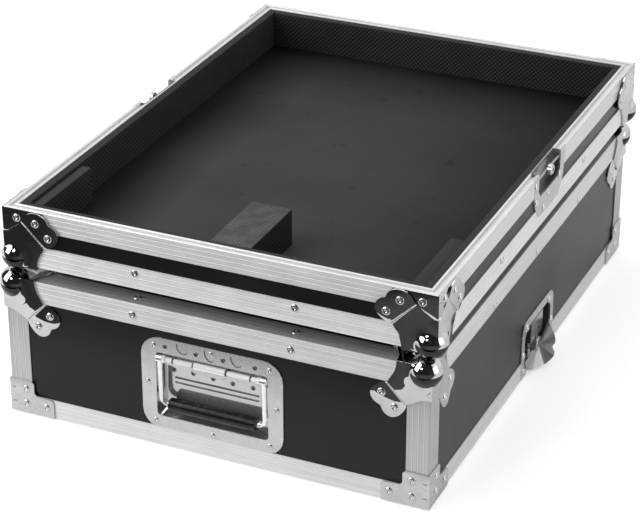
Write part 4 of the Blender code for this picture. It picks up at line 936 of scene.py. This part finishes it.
def makeCamera():
    view = {
        "lens": 126.0, "shift": (0.00905, -0.0231), "place": (0.9426, -2.1667, 1.3072),
        "right": (0.912682, 0.408671, -0.000497), "down": (0.184461, -0.413041, -0.891836),
        "ahead": (-0.364673, 0.81387, -0.452359),
    }
    camera = bpy.data.objects.new("camera", bpy.data.cameras.new("camera"))
    scene.collection.objects.link(camera)
    camera.data.lens = view["lens"]
    camera.data.sensor_width = 36
    camera.data.shift_x, camera.data.shift_y = view["shift"]
    camera.data.clip_end = 50
    right, down, ahead = Vector(view["right"]), Vector(view["down"]), Vector(view["ahead"])
    turn = Matrix((right, -down, -ahead)).transposed().to_4x4()
    camera.matrix_world = Matrix.Translation(view["place"]) @ turn
    scene.camera = camera
    scene.view_settings.view_transform = "Standard"


# studio

def makeLamp(name, point, target, size, power, glossy=True):
    lamp = bpy.data.lights.new(name, "AREA")
    lamp.shape = "RECTANGLE"
    lamp.size, lamp.size_y = size
    lamp.energy = power
    item = bpy.data.objects.new(name, lamp)
    scene.collection.objects.link(item)
    item.location = point
    item.rotation_mode = "QUATERNION"
    item.rotation_quaternion = (Vector(target) - Vector(point)).to_track_quat("-Z", "Y")
    item.visible_glossy = glossy


def flatSheet(name, paper, segments, size):
    # sheet of the studio with an empty material
    bm = bmesh.new()
    bmesh.ops.create_grid(bm, x_segments=segments, y_segments=segments, size=0.5)
    bmesh.ops.scale(bm, vec=(size[0], size[1], 1), verts=bm.verts)
    mesh = bpy.data.meshes.new(name)
    bm.to_mesh(mesh)
    bm.free()
    sheet = bpy.data.objects.new(name, mesh)
    scene.collection.objects.link(sheet)
    material = bpy.data.materials.new(paper)
    material.use_nodes = True
    mesh.materials.append(material)
    tree = material.node_tree
    tree.nodes.remove(tree.nodes["Principled BSDF"])
    return sheet, tree


def makeCard(name, point, target, size, tone, fade=None):
    # card that only reflections see; fade is its other tone and the two places along X between which it changes
    card, tree = flatSheet(name, name, 1, size)
    glow = add(tree, "Emission", {"Color": (1, 1, 1, 1), "Strength": tone})
    if fade:
        along = add(tree, "SeparateXYZ", {0: tree.nodes.new("ShaderNodeTexCoord").outputs["Object"]}).outputs[0]
        tree.links.new(between(tree, along, fade[1], fade[2], fade[0], tone), glow.inputs["Strength"])
    tree.links.new(glow.outputs[0], tree.nodes["Material Output"].inputs[0])
    card.location = point
    card.rotation_mode = "QUATERNION"
    card.rotation_quaternion = (Vector(target) - Vector(point)).to_track_quat("Z", "Y")
    card.visible_camera = False
    card.visible_diffuse = False
    card.visible_shadow = False
    card.visible_transmission = False


def makeStudio():
    studio = {"ambient": 0.50, "floor": 0.80, "lift": 0.46, "mirrored": 0.12, "table": 12.0,
              "far": (1.6, 3.6, 0.40)}
    world = bpy.data.worlds.new("studio")
    scene.world = world
    world.use_nodes = True
    tree = world.node_tree
    back = tree.nodes["Background"]
    rays = add(tree, "LightPath").outputs
    seen = maths(tree, "MAXIMUM", rays["Is Camera Ray"], rays["Is Glossy Ray"])
    seen = maths(tree, "MAXIMUM", seen, rays["Is Transmission Ray"])
    back.inputs["Color"].default_value = (1, 1, 1, 1)
    tree.links.new(between(tree, seen, 0, 1, studio["ambient"], 1.0), back.inputs["Strength"])

    floor, tree = flatSheet("floor", "floor_paper", 4, (studio["table"], studio["table"]))
    rays = add(tree, "LightPath").outputs
    # the lamps don't reach the far floor, so its own glow makes up for them
    near, beyond, extra = studio["far"]
    place = tree.nodes.new("ShaderNodeTexCoord").outputs["Object"]
    away = add(tree, "VectorMath", {0: place}, operation="LENGTH").outputs["Value"]
    lift = between(tree, away, near, beyond, studio["lift"], studio["lift"] + extra)
    seen = maths(tree, "MULTIPLY", rays["Is Camera Ray"], lift)
    mirrored = maths(tree, "MAXIMUM", rays["Is Glossy Ray"], rays["Is Transmission Ray"])
    seen = maths(tree, "ADD", seen, maths(tree, "MULTIPLY", mirrored, studio["mirrored"]))
    paper = add(tree, "BsdfDiffuse", {"Color": (studio["floor"],) * 3 + (1,)})
    glow = add(tree, "Emission", {"Color": (1, 1, 1, 1), "Strength": seen})
    both = add(tree, "AddShader", {0: paper.outputs[0], 1: glow.outputs[0]})
    tree.links.new(both.outputs[0], tree.nodes["Material Output"].inputs[0])

    makeLamp("key", (-1.9, -1.6, 1.55), (0, 0, 0.15), (1.5, 2.6), 62)
    makeLamp("side", (2.3, -0.35, 0.75), (0, 0, 0.15), (0.9, 1.1), 10, False)
    makeLamp("small", (-0.50, -2.2, 1.5), (0, 0, 0.15), (0.5, 0.35), 5)
    makeLamp("over", (0.2, 0.7, 2.3), (0, 0, 0.2), (1.8, 1.8), 14)
    makeCard("bright_right", (2.6, -0.35, 0.95), (0, -0.3, 0.15), (1.7, 2.2), 2.0)
    # dark studio beyond the lamps, which only reflections see
    makeCard("dark_floor", (0, -2.522, 0.001), (0, -2.522, 1), (8.0, 4.0), 0.09, (0.03, 0.42, -0.1))
    makeCard("dark_front", (0, -4.2, 2.2), (0, 0, 2.2), (10.0, 5.2), 0.02)
    makeCard("dark_left", (-3.6, -1.9, 1.6), (0, -1.9, 1.6), (5.4, 4.0), 0.03)
    makeCard("dark_right", (3.6, -2.3, 1.6), (0, -2.3, 1.6), (4.4, 4.0), 0.03)
    makeCard("dark_above", (0, -2.6, 3.2), (0, -2.6, 0), (9.0, 3.6), 0.02)


makeCamera()
makeStudio()
print("camera and studio made")
